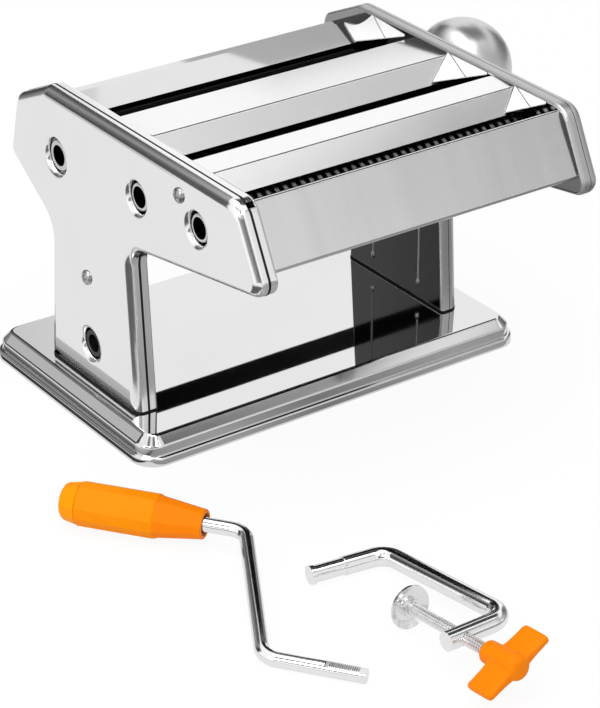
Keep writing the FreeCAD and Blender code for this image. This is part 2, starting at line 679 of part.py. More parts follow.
def roller(label, at, radius, hub=None, end=SHAFT_RIGHT, turn=TILT):
    """A roller with its journals and, on a driven one, the crank's socket."""
    start = LEFT_HUB if hub else "(%s - 0.2)" % GEAR_LEFT
    section = [(start, "0", "0")]
    if hub:
        section += [(start, hub + " / 2", "0.6"), (GEAR_LEFT, hub + " / 2", "0"), (GEAR_LEFT, "shaft / 2", "0")]
    else:
        section += [(start, "shaft / 2", "0.5")]
    section += [
        (ROLL_LEFT, "shaft / 2", "0"),
        (ROLL_LEFT, radius, "0.6"),
        (ROLL_RIGHT, radius, "0.6"),
        (ROLL_RIGHT, "shaft / 2", "0"),
        (end, "shaft / 2", "0.5"),
        (end, "0", "0"),
    ]
    body = spin(label, section, at[0], at[1], turn=turn)
    if hub:
        sketch = new_sketch(body, "YZ_Plane", LEFT_HUB)
        circle(sketch, "0", "0", "mouth")
        pocket(body, sketch, "mouth_depth")
        sketch = new_sketch(body, "YZ_Plane", LEFT_HUB)
        dee(sketch, "rod + 2 * rod_play", "rod / 2 - flat_depth + rod_play")
        pocket(body, sketch, "socket_depth")
    return body


def repeat(body, kind, item, sketch, count, length=None):
    """A row or a ring of one feature, along or about the sketch's normal."""
    pattern = body.newObject("PartDesign::" + kind, body.Label + "_pattern")
    pattern.Originals = [item]
    if kind == "LinearPattern":
        pattern.Direction = (sketch, ["N_Axis"])
        pattern.setExpression("Length", bind(length))
    else:
        pattern.Axis = (sketch, ["N_Axis"])
        pattern.Angle = 360
    pattern.setExpression("Occurrences", bind(count))
    body.Tip = pattern
    return pattern


def cutter(label, at, strip, shift, driven, end):
    """A cutter roller: a core with a row of rings."""
    body = roller(label, at, CORE, "small_hub" if driven else None, end)
    count = "floor((roller_length - %s) / (2 * %s))" % (strip, strip)
    start = "%s - %s * %s + %s" % (ROLL_MIDDLE, strip, count, shift)
    sketch = new_sketch(body, "YZ_Plane", start + " + ring_play / 2")
    circle(sketch, "0", "0", "2 * cutter_radius")
    circle(sketch, "0", "0", "2 * %s - 1" % CORE)
    ring = pad(body, sketch, strip + " - ring_play")
    repeat(body, "LinearPattern", ring, sketch, count, "2 * %s * (%s - 1)" % (strip, count))
    return body


def comb(label, at, strip, shift):
    """A comb that stands under a cutter roller, its teeth in the grooves."""
    body = new_body(label, "0", at[0], at[1], TILT)
    sketch = new_sketch(body, "YZ_Plane", "inner_left")
    low, high = "-cutter_radius - 5.2", "-cutter_radius - 1.2"
    loop(sketch, [("-2.4", low, "0"), ("2.4", low, "0"), ("2.4", high, "0"), ("-2.4", high, "0")])
    pad(body, sketch, "roller_length + 2 * end_gap")
    count = "floor((roller_length - %s) / (2 * %s))" % (strip, strip)
    start = "%s - %s * %s + %s" % (ROLL_MIDDLE, strip, count, shift)
    sketch = new_sketch(body, "YZ_Plane", start + " + ring_play")
    low, high = "-cutter_radius - 2", "-%s - 0.6" % CORE
    loop(sketch, [("-1.6", low, "0"), ("1.6", low, "0"), ("0.9", high, "0"), ("-0.9", high, "0")])
    tooth = pad(body, sketch, strip + " - 2 * ring_play")
    repeat(body, "LinearPattern", tooth, sketch, count, "2 * %s * (%s - 1)" % (strip, count))


def gear(label, at, x, teeth, size, turn=TILT):
    """A spur gear with straight flanks, one tooth on the line of its pair."""
    body = new_body(label, x, at[0], at[1], turn)
    pitch = "%s * %s / 2" % (teeth, size)
    sketch = new_sketch(body, "YZ_Plane")
    circle(sketch, "0", "0", "2 * (%s - 1.25 * %s)" % (pitch, size))
    circle(sketch, "0", "0", "shaft")
    pad(body, sketch, "gear_width")
    sketch = new_sketch(body, "YZ_Plane")
    half = "(pi * %s / 4 - backlash / 2)" % size
    root, tip = "-(%s - 1.4 * %s)" % (pitch, size), "-(%s + 0.9 * %s)" % (pitch, size)
    thick, thin = "(%s + 0.5 * %s)" % (half, size), "(%s - 0.38 * %s)" % (half, size)
    loop(sketch, [(root, "-" + thick, "0"), (tip, "-" + thin, "0"), (tip, thin, "0"), (root, thick, "0")])
    tooth = pad(body, sketch, "gear_width")
    repeat(body, "PolarPattern", tooth, sketch, teeth)


roller("rear_smooth_roller", REAR, "roller_radius", "hub", turn=PAIR_TILT)
roller("front_smooth_roller", FRONT, "roller_radius", turn=PAIR_TILT)
MAIN_MODULE = "(%s / main_teeth)" % PAIR
CUTTER_MODULE = "(%s / cutter_teeth)" % CUTTER_PAIR
gear("rear_roller_gear", REAR, GEAR_LEFT, "main_teeth", MAIN_MODULE, PAIR_TILT)
gear("front_roller_gear", FRONT, GEAR_LEFT, "main_teeth", MAIN_MODULE, PAIR_TILT)
RIGHT_GEARS = "(%s + skin + 0.8)" % INNER_RIGHT
for name, strip, rear, front in (("wide", "wide_strip", WIDE_REAR, WIDE_FRONT),
                                 ("narrow", "narrow_strip", NARROW_REAR, NARROW_FRONT)):
    row = RIGHT_GEARS if name == "wide" else "(%s + gear_width + 0.4)" % RIGHT_GEARS
    end = "(%s + gear_width)" % row
    cutter(name + "_cutter_rear", rear, strip, "0", True, end)
    cutter(name + "_cutter_front", front, strip, strip, False, end)
    comb(name + "_comb_rear", rear, strip, strip)
    comb(name + "_comb_front", front, strip, "0")
    gear(name + "_gear_rear", rear, row, "cutter_teeth", CUTTER_MODULE)
    gear(name + "_gear_front", front, row, "cutter_teeth", CUTTER_MODULE)

# bearing bushes in the inner frames
for side, x in (("left", "inner_left - bush_length + 0.6"), ("right", INNER_RIGHT + " - 0.6")):
    bushes = new_body(side + "_bushes", x)
    sketch = new_sketch(bushes, "YZ_Plane")
    for at in [REAR] + CUTTERS:
        circle(sketch, at[0], at[1], BUSH)
        circle(sketch, at[0], at[1], "shaft + 2 * run_play")
    pad(bushes, sketch, "skin + 1.1" if side == "right" else "bush_length")

# clamp socket in the left leg
tube = new_body("clamp_socket", LEFT_FACE + " + hub_recess", "clamp_y", "clamp_z")
sketch = new_sketch(tube, "YZ_Plane")
circle(sketch, "0", "0", "small_hub")
circle(sketch, "0", "0", "clamp_rod + 2 * rod_play")
pad(tube, sketch, "inner_left + 1 - (%s + hub_recess)" % LEFT_FACE)

# scraper under the rear roller
scraper = new_body("rear_scraper", "inner_left")
sketch = new_sketch(scraper, "YZ_Plane")
under = "drive_z - roller_radius"
loop(sketch, [("drive_y", under + " - 0.4", "0"), ("drive_y", under + " - 1.3", "0"),
              ("drive_y + 15", under + " - 8", "0"), ("drive_y + 15", under + " - 6.8", "0")])
pad(scraper, sketch, "roller_length + 2 * end_gap")

# sliding blocks of the front roller, and the bar that ties them together
EAR = "-(roller_radius + 2.6)"
EAR_LOW = "-(roller_radius + 4)"
BLOCK = [("9.5", "9.5", "5"), ("-9.5", "9.5", "5"), ("-9.5", "-10", "1.5"), (EAR, "-10", "3"),
         (EAR, EAR_LOW, "3"), ("-6", EAR_LOW, "3"), ("9.5", "-6", "3")]
BAR_HALF = "2.4"


def bar_corners():
    """Corners of the tie bar's section, seen from the front roller's axis."""
    y, z = "-(%s)" % BAR[0], BAR[1]
    return [(y + " - " + BAR_HALF, z + " - " + BAR_HALF, "0"), (y + " + " + BAR_HALF, z + " - " + BAR_HALF, "0"),
            (y + " + " + BAR_HALF, z + " + " + BAR_HALF, "0"), (y + " - " + BAR_HALF, z + " + " + BAR_HALF, "0")]


LEFT_BLOCK = "(inner_left - skin - 0.1 - 1.2)"
block = new_body("gap_block_left", LEFT_BLOCK, FRONT[0], FRONT[1], PAIR_TILT)
sketch = new_sketch(block, "YZ_Plane")
loop(sketch, BLOCK)
circle(sketch, "0", "0", "shaft + 2 * run_play")
loop(sketch, bar_corners())
pad(block, sketch, "1.2")
sketch = new_sketch(block, "YZ_Plane")
circle(sketch, "0", "0", "boss")
circle(sketch, "0", "0", "shaft + 2 * run_play")
pad(block, sketch, "1.2 + 0.1 + skin + 0.2")

RIGHT_BLOCK = "(%s + skin + 0.1)" % INNER_RIGHT
block = new_body("gap_block_right", RIGHT_BLOCK, FRONT[0], FRONT[1], PAIR_TILT)
sketch = new_sketch(block, "YZ_Plane")
loop(sketch, BLOCK)
circle(sketch, "0", "0", "shaft + 2 * run_play")
loop(sketch, bar_corners())
pad(block, sketch, "2.4")
sketch = new_sketch(block, "YZ_Plane", "-skin - 0.3")
circle(sketch, "0", "0", "boss")
circle(sketch, "0", "0", "shaft + 2 * run_play")
pad(block, sketch, "skin + 0.5")
sketch = new_sketch(block, "YZ_Plane", "2.2")
loop(sketch, [("9.5", "10.5", "4"), ("-9.5", "10.5", "4"), ("-9.5", "-10.5", "4"), ("9.5", "-10.5", "4")])
wide, tall = "(eccentric_radius + yoke_play)", "(eccentric_radius + eccentric_offset + 0.8)"
loop(sketch, [(wide, tall, "1"), ("-" + wide, tall, "1"), ("-" + wide, "-" + tall, "1"), (wide, "-" + tall, "1")])
pad(block, sketch, "4")

bar = new_body("gap_tie_bar", LEFT_BLOCK, FRONT[0], FRONT[1], PAIR_TILT)
sketch = new_sketch(bar, "YZ_Plane")
loop(sketch, bar_corners())
pad(bar, sketch, "%s + 2.4 - %s" % (RIGHT_BLOCK, LEFT_BLOCK))
sketch = new_sketch(bar, "YZ_Plane", "%s - %s" % (ROLL_LEFT, LEFT_BLOCK))
blade = "-(roller_radius + 0.9)"
root = "-(%s - 0.4)" % BAR[0]
loop(sketch, [(root, BAR[1] + " + 0.4", "0"), ("-3", blade, "0"),
              ("-3", blade + " - 1", "0"), (root, BAR[1] + " - 1", "0")])
pad(bar, sketch, "roller_length")

# the knob's spindle with its eccentric, the index plate and the knob
SPINDLE = "(%s + 2.6)" % RIGHT_BLOCK
spindle = new_body("knob_spindle", SPINDLE, KNOB[0], KNOB[1], PAIR_TILT)
sketch = new_sketch(spindle, "YZ_Plane")
circle(sketch, "eccentric_offset * 0.9063", "eccentric_offset * 0.4226", "2 * eccentric_radius")
pad(spindle, sketch, "3.4")
sketch = new_sketch(spindle, "YZ_Plane", "3.4")
circle(sketch, "0", "0", "spindle")
pad(spindle, sketch, "%s + index_sheet + 0.4 - %s - 3.4" % (RIGHT_FACE, SPINDLE))
sketch = new_sketch(spindle, "YZ_Plane", "3.4")
dee(sketch, "spindle_end", "spindle_end / 2 - 1")
pad(spindle, sketch, "%s + knob_gap + 22 - %s - 3.4" % (RIGHT_FACE, SPINDLE))

index = new_body("index_plate", RIGHT_FACE, KNOB[0], KNOB[1], PAIR_TILT)
sketch = new_sketch(index, "YZ_Plane")
circle(sketch, "0", "0", "2 * index_radius")
circle(sketch, "0", "0", "spindle + 2 * run_play")
pad(index, sketch, "index_sheet")
sketch = new_sketch(index, "YZ_Plane", "-skin")
circle(sketch, "0", "0", "spindle + 6")
circle(sketch, "0", "0", "spindle + 2 * run_play")
pad(index, sketch, "skin")
sketch = new_sketch(index, "YZ_Plane", "index_sheet")
for step in range(7):
    angle = math.radians(step * 130 / 6)
    y, z = "(index_radius - 3) * %.5f" % math.cos(angle), "(index_radius - 3) * %.5f" % math.sin(angle)
    circle(sketch, y, z if step else "0", "2.6")
pocket(index, sketch, "1.2", True)

knob = new_body("knob", "%s + knob_gap" % RIGHT_FACE, KNOB[0], KNOB[1], PAIR_TILT)
sketch = new_sketch(knob, "XZ_Plane")
loop(sketch, [("0", "0", "0"), ("0", "knob_radius", "0.62 * knob_radius"),
              ("knob_length", "knob_radius", "knob_radius - 0.6"), ("knob_length", "0", "0")])
turned(knob, sketch)
sketch = new_sketch(knob, "YZ_Plane")
dee(sketch, "spindle_end + 2 * run_play", "spindle_end / 2 - 1 + run_play")
pocket(knob, sketch, "24")
sketch = new_sketch(knob, "YZ_Plane")
circle(sketch, "index_radius - 3", "0", "2")
pocket(knob, sketch, "6")

pin = new_body("knob_index_pin", "%s + index_sheet + 0.2" % RIGHT_FACE, KNOB[0], KNOB[1], PAIR_TILT)
sketch = new_sketch(pin, "YZ_Plane")
circle(sketch, "index_radius - 3", "0", "2")
pad(pin, sketch, "knob_gap - index_sheet - 0.2 + 5.8")

# small screws, tie rods and their nuts
for side, start, way in (("left", LEFT_FACE, -1), ("right", RIGHT_FACE, 1)):
    screws = new_body(side + "_cover_screws", start)
    sketch = new_sketch(screws, "YZ_Plane")
    for y, z in COVER_SCREWS:
        circle(sketch, y, z, "screw_head")
    heads = pad(screws, sketch, "1.8", way < 0)
    doc.recompute()
    rounded(screws, heads, edges_where(heads, lambda p: abs(p.x - way * 1.8) < 1e-4), "1.5")
    sketch = new_sketch(screws, "YZ_Plane")
    for y, z in COVER_SCREWS:
        circle(sketch, y, z, "screw")
    inner = "inner_left" if way < 0 else INNER_RIGHT
    pad(screws, sketch, "%d * (%s - %s)" % (way, start, inner), way > 0)

rods = new_body("tie_rods", "inner_left - skin - 2.6")
sketch = new_sketch(rods, "YZ_Plane")
for y, z in TIES:
    circle(sketch, y, z, "tie")
pad(rods, sketch, "roller_length + 2 * end_gap + 2 * skin + 5.2")
for side, start in (("left", "inner_left - skin - 2.2"), ("right", INNER_RIGHT + " + skin")):
    nuts = new_body(side + "_tie_nuts", start)
    sketch = new_sketch(nuts, "YZ_Plane")
    for y, z in TIES:
        corners = []
        for step in range(6):
            angle = math.radians(60 * step)
            corners.append(("%s + 1.7 * tie / 2 * %.5f" % (y, math.cos(angle)),
                            "%s + 1.7 * tie / 2 * %.5f" % (z, math.sin(angle)), "0"))
        loop(sketch, corners)
        circle(sketch, y, z, "tie")
    pad(nuts, sketch, "2.2")

legs = new_body("leg_screws", "0", "0", "base_top - skin")
sketch = new_sketch(legs, "XY_Plane")
for x, y in LEG_SCREWS:
    circle(sketch, x, y, "2 * leg_screw")
pad(legs, sketch, "1.8", True)
sketch = new_sketch(legs, "XY_Plane")
for x, y in LEG_SCREWS:
    circle(sketch, x, y, "leg_screw")
pad(legs, sketch, "2 * skin + 2")


def path(sketch, corners):
    """An open line of straight runs and round bends."""
    points = [Vector(val(u), val(v), 0) for u, v, radius in corners]
    marks = corner_points(points, [val(radius) for u, v, radius in corners])
    lines = []
    for first, last in zip(marks, marks[1:]):
        lines.append(sketch.addGeometry(Part.LineSegment(first[2], last[0])))
    for i in range(1, len(points) - 1):
        bend(sketch, lines[i - 1], lines[i], points[i], marks[i], corners[i])
    hold(sketch, lines[0], 1, corners[0][0], corners[0][1])
    hold(sketch, lines[-1], 2, corners[-1][0], corners[-1][1])


def bent_rod(label, corners, diameter, place):
    """A round rod bent in one plane, starting along +X."""
    body = loose_body(label)
    sketch = new_sketch(body, "YZ_Plane")
    circle(sketch, "0", "0", diameter)
    line = new_sketch(body, "XY_Plane")
    path(line, corners)
    pipe = feature(body, "AdditivePipe", sketch)
    pipe.Spine = (line, [])
    body.Placement = place
    return body


def laid(x, y, z, heading, tip):
    """Where a loose piece lies: a heading about Z and a tip about its own X."""
    flat = FreeCAD.Rotation(Vector(0, 0, 1), heading)
    lean = FreeCAD.Rotation(Vector(1, 0, 0), tip)
    return FreeCAD.Placement(Vector(x, y, z), flat.multiply(lean))


# the crank lies on its grip and on its drive end
lean = -math.degrees(math.asin(val("(grip_radius - rod / 2) / throw")))
CRANK = laid(val("tip_x"), val("tip_y_floor"), val("rod / 2"), val("crank_heading"), lean)
NECK = "(drive_length + arm_run + stub_length)"
crank = bent_rod("crank_rod", [
    ("0", "0", "0"),
    ("drive_length", "0", "bend_round"),
    ("drive_length + arm_run", "-throw", "bend_round"),
    (NECK + " + grip_length - 12", "-throw", "0"),
], "rod", CRANK)
sketch = new_sketch(crank, "XZ_Plane", "-rod")
loop(sketch, [("-1", "rod / 2 - flat_depth", "0"), ("flat_length", "rod / 2 - flat_depth", "0"), ("flat_length", "rod", "0"), ("-1", "rod", "0")])
pocket(crank, sketch, "2 * rod")

grip = loose_body("crank_grip")
sketch = new_sketch(grip, "XZ_Plane")
bore = "rod / 2 + run_play"
loop(sketch, [
    ("0", bore + " + 1.1", "0"),
    ("0", "neck_radius", "1"),
    ("20", "grip_radius - 0.5", "0"),
    ("20", "grip_radius", "0.3"),
    ("grip_length - 8", "grip_radius", "0.5"),
    ("grip_length - 8", bore + " + 2", "0"),
    ("grip_length - 12", bore + " + 2", "0"),
    ("grip_length - 12", bore, "0"),
    ("3", bore, "0"),
    ("3", bore + " + 1.1", "0"),
])
turned(grip, sketch)
grip.Placement = CRANK.multiply(FreeCAD.Placement(Vector(val(NECK), val("-throw"), 0), FreeCAD.Rotation()))

cap = loose_body("crank_grip_cap")
sketch = new_sketch(cap, "XZ_Plane")
loop(sketch, [
    ("grip_length - 11", "0", "0"),
    ("grip_length - 11", bore + " + 2", "0"),
    ("grip_length - 8", bore + " + 2", "0"),
    ("grip_length - 8", "grip_radius - 0.4", "0.3"),
    ("grip_length", "grip_radius - 2", "2.5"),
    ("grip_length", "0", "0"),
])
turned(cap, sketch)
cap.Placement = grip.Placement

# the clamp lies on its upper arm and on the pressure disc
SINK = "(disc_at * cos(clamp_skew) - screw_x * sin(clamp_skew))"
lean = -math.degrees(math.asin(val("(disc_radius - clamp_rod / 2) / " + SINK)))
HOOK = laid(val("clamp_tip_x"), val("clamp_tip_y"), val("clamp_rod / 2"), val("clamp_heading"), lean)
skew = FreeCAD.Rotation(Vector(0, 0, 1), val("clamp_skew"))
CLAMP = HOOK.multiply(FreeCAD.Placement(Vector(0, 0, 0), skew))


def skewed(u, v):
    """A point beside the clamp's screw, seen along the upper arm."""
    return ("(%s) * cos(clamp_skew) - (%s) * sin(clamp_skew)" % (u, v),
            "(%s) * sin(clamp_skew) + (%s) * cos(clamp_skew)" % (u, v))


hook = bent_rod("clamp_frame", [
    ("0", "0", "0"),
    ("clamp_reach", "0", "clamp_bend"),
    skewed("clamp_far", "-clamp_span") + ("clamp_bend",),
    skewed("clamp_far - clamp_low_reach", "-clamp_span") + ("0",),
], "clamp_rod", HOOK)
sketch = new_sketch(hook, "XZ_Plane")
loop(sketch, [("1.8", "clamp_rod / 2 - 0.45", "0"), ("15", "clamp_rod / 2 - 0.45", "0"),
              ("15", "clamp_rod", "0"), ("1.8", "clamp_rod", "0")])
turned(hook, sketch, "Groove")
START = "(clamp_span - clamp_rod)"
sketch = new_sketch(hook, "XZ_Plane", START + " * cos(clamp_skew)")
sketch.AttachmentOffset = FreeCAD.Placement(Vector(0, 0, 0), FreeCAD.Rotation(Vector(0, 1, 0), val("clamp_skew")))
sketch.setExpression("AttachmentOffset.Base.x", bind(START + " * sin(clamp_skew)"))
sketch.setExpression("AttachmentOffset.Base.z", bind(START + " * cos(clamp_skew)"))
circle(sketch, "screw_x", "0", "clamp_screw + 0.1")
pocket(hook, sketch, "2 * clamp_rod")

screw = loose_body("clamp_screw")
sketch = new_sketch(screw, "XZ_Plane", "disc_at + 0.6")
circle(sketch, "screw_x", "0", "clamp_screw")
pad(screw, sketch, "wing_at - disc_at - 0.6 + 14")
screw.Placement = CLAMP

disc = loose_body("clamp_pressure_disc")
sketch = new_sketch(disc, "XY_Plane")
line = sketch.addGeometry(Part.LineSegment(Vector(val("screw_x"), 0, 0), Vector(val("screw_x"), -9, 0)), True)
hold(sketch, line, 1, "screw_x", "0")
hold(sketch, line, 2, "screw_x", "-9")
loop(sketch, [
    ("screw_x", "-disc_at + 1.4", "0"),
    ("screw_x + disc_radius - 2.4", "-disc_at + 1.4", "1"),
    ("screw_x + disc_radius", "-disc_at - 0.2", "0"),
    ("screw_x + disc_radius", "-disc_at - 1.2", "0"),
    ("screw_x + disc_radius - 2.8", "-disc_at + 0.4", "1"),
    ("screw_x + clamp_screw / 2 + 1.6", "-disc_at + 0.4", "0"),
    ("screw_x + clamp_screw / 2 + 1.1", "-disc_at - 2.6", "0"),
    ("screw_x + clamp_screw / 2 + 0.1", "-disc_at - 2.6", "0"),
    ("screw_x + clamp_screw / 2 + 0.1", "-disc_at - 0.4", "0"),
    ("screw_x", "-disc_at - 0.4", "0"),
])
turned(disc, sketch, axis="Axis0")
disc.Placement = CLAMP

wing = loose_body("clamp_wing_knob")
sketch = new_sketch(wing, "XZ_Plane")
circle(sketch, "0", "0", "11.2")
circle(sketch, "0", "0", "clamp_screw")
hub = pad(wing, sketch, "5 + wing_width")
sketch = new_sketch(wing, "XZ_Plane", "14")
circle(sketch, "0", "0", "10.4")
plug = pad(wing, sketch, "wing_width - 9")
doc.recompute()
tip = -val("5 + wing_width")
rounded(wing, plug, edges_where(plug, lambda p: abs(p.y - tip) < 1e-4), "3.5")
sketch = new_sketch(wing, "XZ_Plane", "5")
loop(sketch, [("wing_span / 2", "1.7", "1"), ("3.2", "2.1", "0"), ("3.2", "-2.1", "0"), ("wing_span / 2", "-1.7", "1")])
loop(sketch, [("-wing_span / 2", "1.7", "1"), ("-3.2", "2.1", "0"), ("-3.2", "-2.1", "0"), ("-wing_span / 2", "-1.7", "1")])
pad(wing, sketch, "wing_width - 1.2")
roll = FreeCAD.Placement(Vector(val("screw_x"), val("-wing_at"), 0), FreeCAD.Rotation(Vector(0, 1, 0), -val("wing_angle")))
wing.Placement = CLAMP.multiply(roll)

# every object is sound before anything is written
doc.recompute()
for item in doc.Objects:
    if "Invalid" in item.State or "Error" in item.State:
        raise ValueError("failed: " + item.Name)
os.makedirs("parts", exist_ok=True)
for body in nodes:
    if body.Shape.isNull() or not body.Shape.isValid():
        raise ValueError("no sound shape: " + body.Label)
    body.Shape.exportStep("parts/%s.step" % body.Label)
    print(body.Label, len(body.Shape.Solids), round(body.Shape.Volume))
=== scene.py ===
import json
import math

import bmesh
import bpy
from bpy.props import FloatProperty, FloatVectorProperty, IntProperty, PointerProperty
from mathutils import Matrix, Vector


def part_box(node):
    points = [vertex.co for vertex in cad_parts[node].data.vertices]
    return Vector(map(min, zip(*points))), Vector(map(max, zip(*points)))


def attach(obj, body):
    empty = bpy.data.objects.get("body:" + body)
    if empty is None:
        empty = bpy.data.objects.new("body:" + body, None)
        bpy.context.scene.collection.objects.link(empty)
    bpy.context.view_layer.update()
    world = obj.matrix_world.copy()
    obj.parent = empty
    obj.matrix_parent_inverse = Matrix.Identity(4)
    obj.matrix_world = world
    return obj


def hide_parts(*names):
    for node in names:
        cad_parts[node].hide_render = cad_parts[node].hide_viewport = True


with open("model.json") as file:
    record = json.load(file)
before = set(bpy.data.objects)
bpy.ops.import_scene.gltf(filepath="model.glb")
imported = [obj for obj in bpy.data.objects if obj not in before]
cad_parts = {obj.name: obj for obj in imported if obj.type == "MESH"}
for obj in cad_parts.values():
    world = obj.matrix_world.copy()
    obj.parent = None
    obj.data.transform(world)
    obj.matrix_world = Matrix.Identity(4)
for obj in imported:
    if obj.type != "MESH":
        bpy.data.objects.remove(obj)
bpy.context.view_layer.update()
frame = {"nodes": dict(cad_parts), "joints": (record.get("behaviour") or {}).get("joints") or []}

bl_info = {
    "name": "Pasta roller dressing",
    "version": (1, 0, 0),
    "blender": (4, 5, 0),
    "location": "View3D > Sidebar > Pasta roller",
    "description": "Finishes a hand-cranked pasta roller, its crank and its table clamp",
    "category": "Object",
}

MM = 0.001
# each end guide in metres: upper edge rear and front as (y, z), foot rear as (y, z), middle as (reach, y, z)
GUIDES = [
    ((0.0140, 0.1393), (-0.0100, 0.1378), (0.0350, 0.1292), (0.0098, 0.0137, 0.1292)),
    ((-0.0402, 0.1392), (-0.0680, 0.1392), (-0.0404, 0.1384), (0.0118, -0.0456, 0.1302)),
    ((-0.0861, 0.1392), (-0.1070, 0.1392), (-0.0863, 0.1389), (0.0098, -0.0925, 0.1319)),
]
# front and rear of a leg's foot, and where the beads run up it
LEG = (-0.0416, 0.0299)
BEADS = (-0.0232, 0.0112)
# radii of a foot's corners: on the cover's side and on the frame's
FOOT_ROUNDS = (0.0046, 0.0016)
# a crease's two ends as places on its guide, a direction that lies in its plane, and its radius
CREASE_TOP = (0.08, 0.02)
CREASE_FOOT = (0.80, 0.98)
CREASE_SLANT = (0.509, 0.719, -0.474)
CREASE_RADIUS = 0.00022
# the dark strip of painted shade in the joint between the left cover and its frame: half its width, its rise and
# how deep its middle lies
JOINT_HALF = 0.00055
JOINT_RISE = 0.0003
JOINT_SINK = 0.0001
# points closer than this are one
WELD = 0.000001
# height of a cover screw's head, and half the width and length of its recess
HEAD_HEIGHT = 0.0018
RECESS = (0.00042, 0.0017)
# the bright hubs at the rollers' left ends, in millimetres: where they start along X, and the bore's radius
HUB_EDGE = -79.5
HUB_BORE = 4.7
# a guide's gap to its frame, the thickness of its sheet, its sag as a share of its depth, and its drop in front
GUIDE_GAP = 0.0003
GUIDE_SHEET = 0.0004
GUIDE_SAG = 0.12
GUIDE_DROP = 0.0006
# the grip: its neck from the joint that it spins on, and where its cone ends from the neck
GRIP_NECK = 0.0116
CONE_END = 0.0197
# the crank: length of its arm, how far the arm drops over it, and from the grip's joint back to the drive tip
CRANK_ARM = 0.072
CRANK_DROP = 0.0064
DRIVE_TIP = 0.1
# depth of the clamp screw's thread as a share of its pitch, and the rod's ends along its axis
THREAD_DEPTH = 0.62
THREAD_ENDS = (-0.0466, 0.0134)
# the clear floor cards don't show to rays shorter than this
NEAR_FLOOR = 0.06
# the camera's place, and how far it looks down and turns, in degrees
CAMERA_PLACE = (-0.61232, -0.89902, 0.58129)
CAMERA_DOWN = 28.28
CAMERA_TURN = -35.3


class Wire:
    """A shader socket that takes part in Python expressions."""

    def __init__(self, tree, socket=None):
        self.tree = tree
        self.socket = socket

    def make(self, kind, settings=None, values=None, output=0):
        """Add a node: its settings first, then the values or links of its sockets."""
        node = self.tree.nodes.new(kind)
        for key, value in (settings or {}).items():
            if key == "stops":
                ramp = node.color_ramp
                while len(ramp.elements) < len(value):
                    ramp.elements.new(0.5)
                for element, (place, shade) in zip(ramp.elements, value):
                    element.position = place
                    element.color = (shade, shade, shade, 1) if isinstance(shade, float) else shade
            else:
                setattr(node, key, value)
        for key, value in (values or {}).items():
            if isinstance(value, Wire):
                self.tree.links.new(value.socket, node.inputs[key])
            else:
                node.inputs[key].default_value = value
        return Wire(self.tree, node.outputs[output] if len(node.outputs) else None)

    def maths(self, operation, first, second):
        """Add a Math node."""
        return self.make("ShaderNodeMath", {"operation": operation}, {0: first, 1: second})

    def __add__(self, other):
        return self.maths("ADD", self, other)

    def __sub__(self, other):
        return self.maths("SUBTRACT", self, other)

    def __mul__(self, other):
        return self.maths("MULTIPLY", self, other)

    def __radd__(self, other):
        return self.maths("ADD", other, self)

    def __rsub__(self, other):
        return self.maths("SUBTRACT", other, self)

    def __rmul__(self, other):
        return self.maths("MULTIPLY", other, self)

    def __gt__(self, other):
        return self.maths("GREATER_THAN", self, other)

    def __lt__(self, other):
        return self.maths("LESS_THAN", self, other)


def noise(start, scale, detail=2.0, stretch=(1, 1, 1), rough=0.5):
    """Noise in millimetres across the piece, stretched along an axis where asked."""
    place = start.make("ShaderNodeTexCoord", output="Object")
    place = start.make("ShaderNodeMapping", None, {"Vector": place, "Scale": [1000 * s for s in stretch]})
    return start.make("ShaderNodeTexNoise", None,
                      {"Vector": place, "Scale": 1 / scale, "Detail": detail, "Roughness": rough})


def place_of(start, axis):
    """One coordinate of the piece, in millimetres from the row's origin."""
    place = start.make("ShaderNodeTexCoord", output="Object")
    return start.make("ShaderNodeSeparateXYZ", None, {"Vector": place}, output=axis) * 1000


def mixed(start, factor, first, second):
    """One colour laid over another by a factor."""
    return start.make("ShaderNodeMix", {"data_type": "RGBA"}, {"Factor": factor, 6: first, 7: second}, output=2)


def between(start, factor, low, high):
    """A colour that goes from low to high with a factor."""
    return mixed(start, factor, tuple(low) + (1,), tuple(high) + (1,))


def spread_over(start, value, low, high):
    """0 where a value is at low, 1 where it is at high, and a straight line between."""
    return start.make("ShaderNodeMapRange", None, {"Value": value, 1: low, 2: high, 3: 0.0, 4: 1.0})


def surface(name, build):
    """A material whose shader is written by one function."""
    material = bpy.data.materials.new(name)
    material.use_nodes = True
    tree = material.node_tree
    tree.nodes.clear()
    end = tree.nodes.new("ShaderNodeOutputMaterial")
    shader = build(Wire(tree))
    tree.links.new(shader.socket, end.inputs["Surface"])
    return material


def shaded(start, colour, metal, rough, bump=None, depth=0.0, fixed=None):
    """A Principled shader with the sockets that change over a surface."""
    values = {"Base Color": colour, "Metallic": metal, "Roughness": rough}
    values.update(fixed or {})
    if bump is not None:
        values["Normal"] = start.make("ShaderNodeBump", None,
                                      {"Height": bump, "Strength": 1.0, "Distance": depth})
    return start.make("ShaderNodeBsdfPrincipled", None, values)


def chrome(name, tone, smear=0.05, wave=0.00004, low=0.04, face=None, rim=None, soft=0.0):
    """Plated sheet: faint smears, a slow wave of the pressing and, off its flat face, a softer rim in a colour
    of its own, painted shade where it is darker than the face.
    """
    def build(start):
        cloud = noise(start, 38.0, 3.0)
        wipe = noise(start, 2.2, 4.0, (1, 0.16, 0.16))
        colour = between(start, cloud, [c * 0.93 for c in tone], tone)
        rough = cloud * smear + wipe * (smear * 0.5) + low
        if face:
            normal = start.make("ShaderNodeNewGeometry", output="Normal")
            lean = start.make("ShaderNodeSeparateXYZ", None, {"Vector": normal}, output=face)
            turn = spread_over(start, lean * lean, 0.99, 0.93)
            rough = rough + turn * soft
            # the rim's colour: painted shade where it is darker than the face
            edge = between(start, cloud, [c * 0.94 for c in rim], rim)
            colour = mixed(start, turn, colour, edge)
        swell = noise(start, 60.0, 1.0)
        return shaded(start, colour, 1.0, rough, swell, wave)
    return surface(name, build)


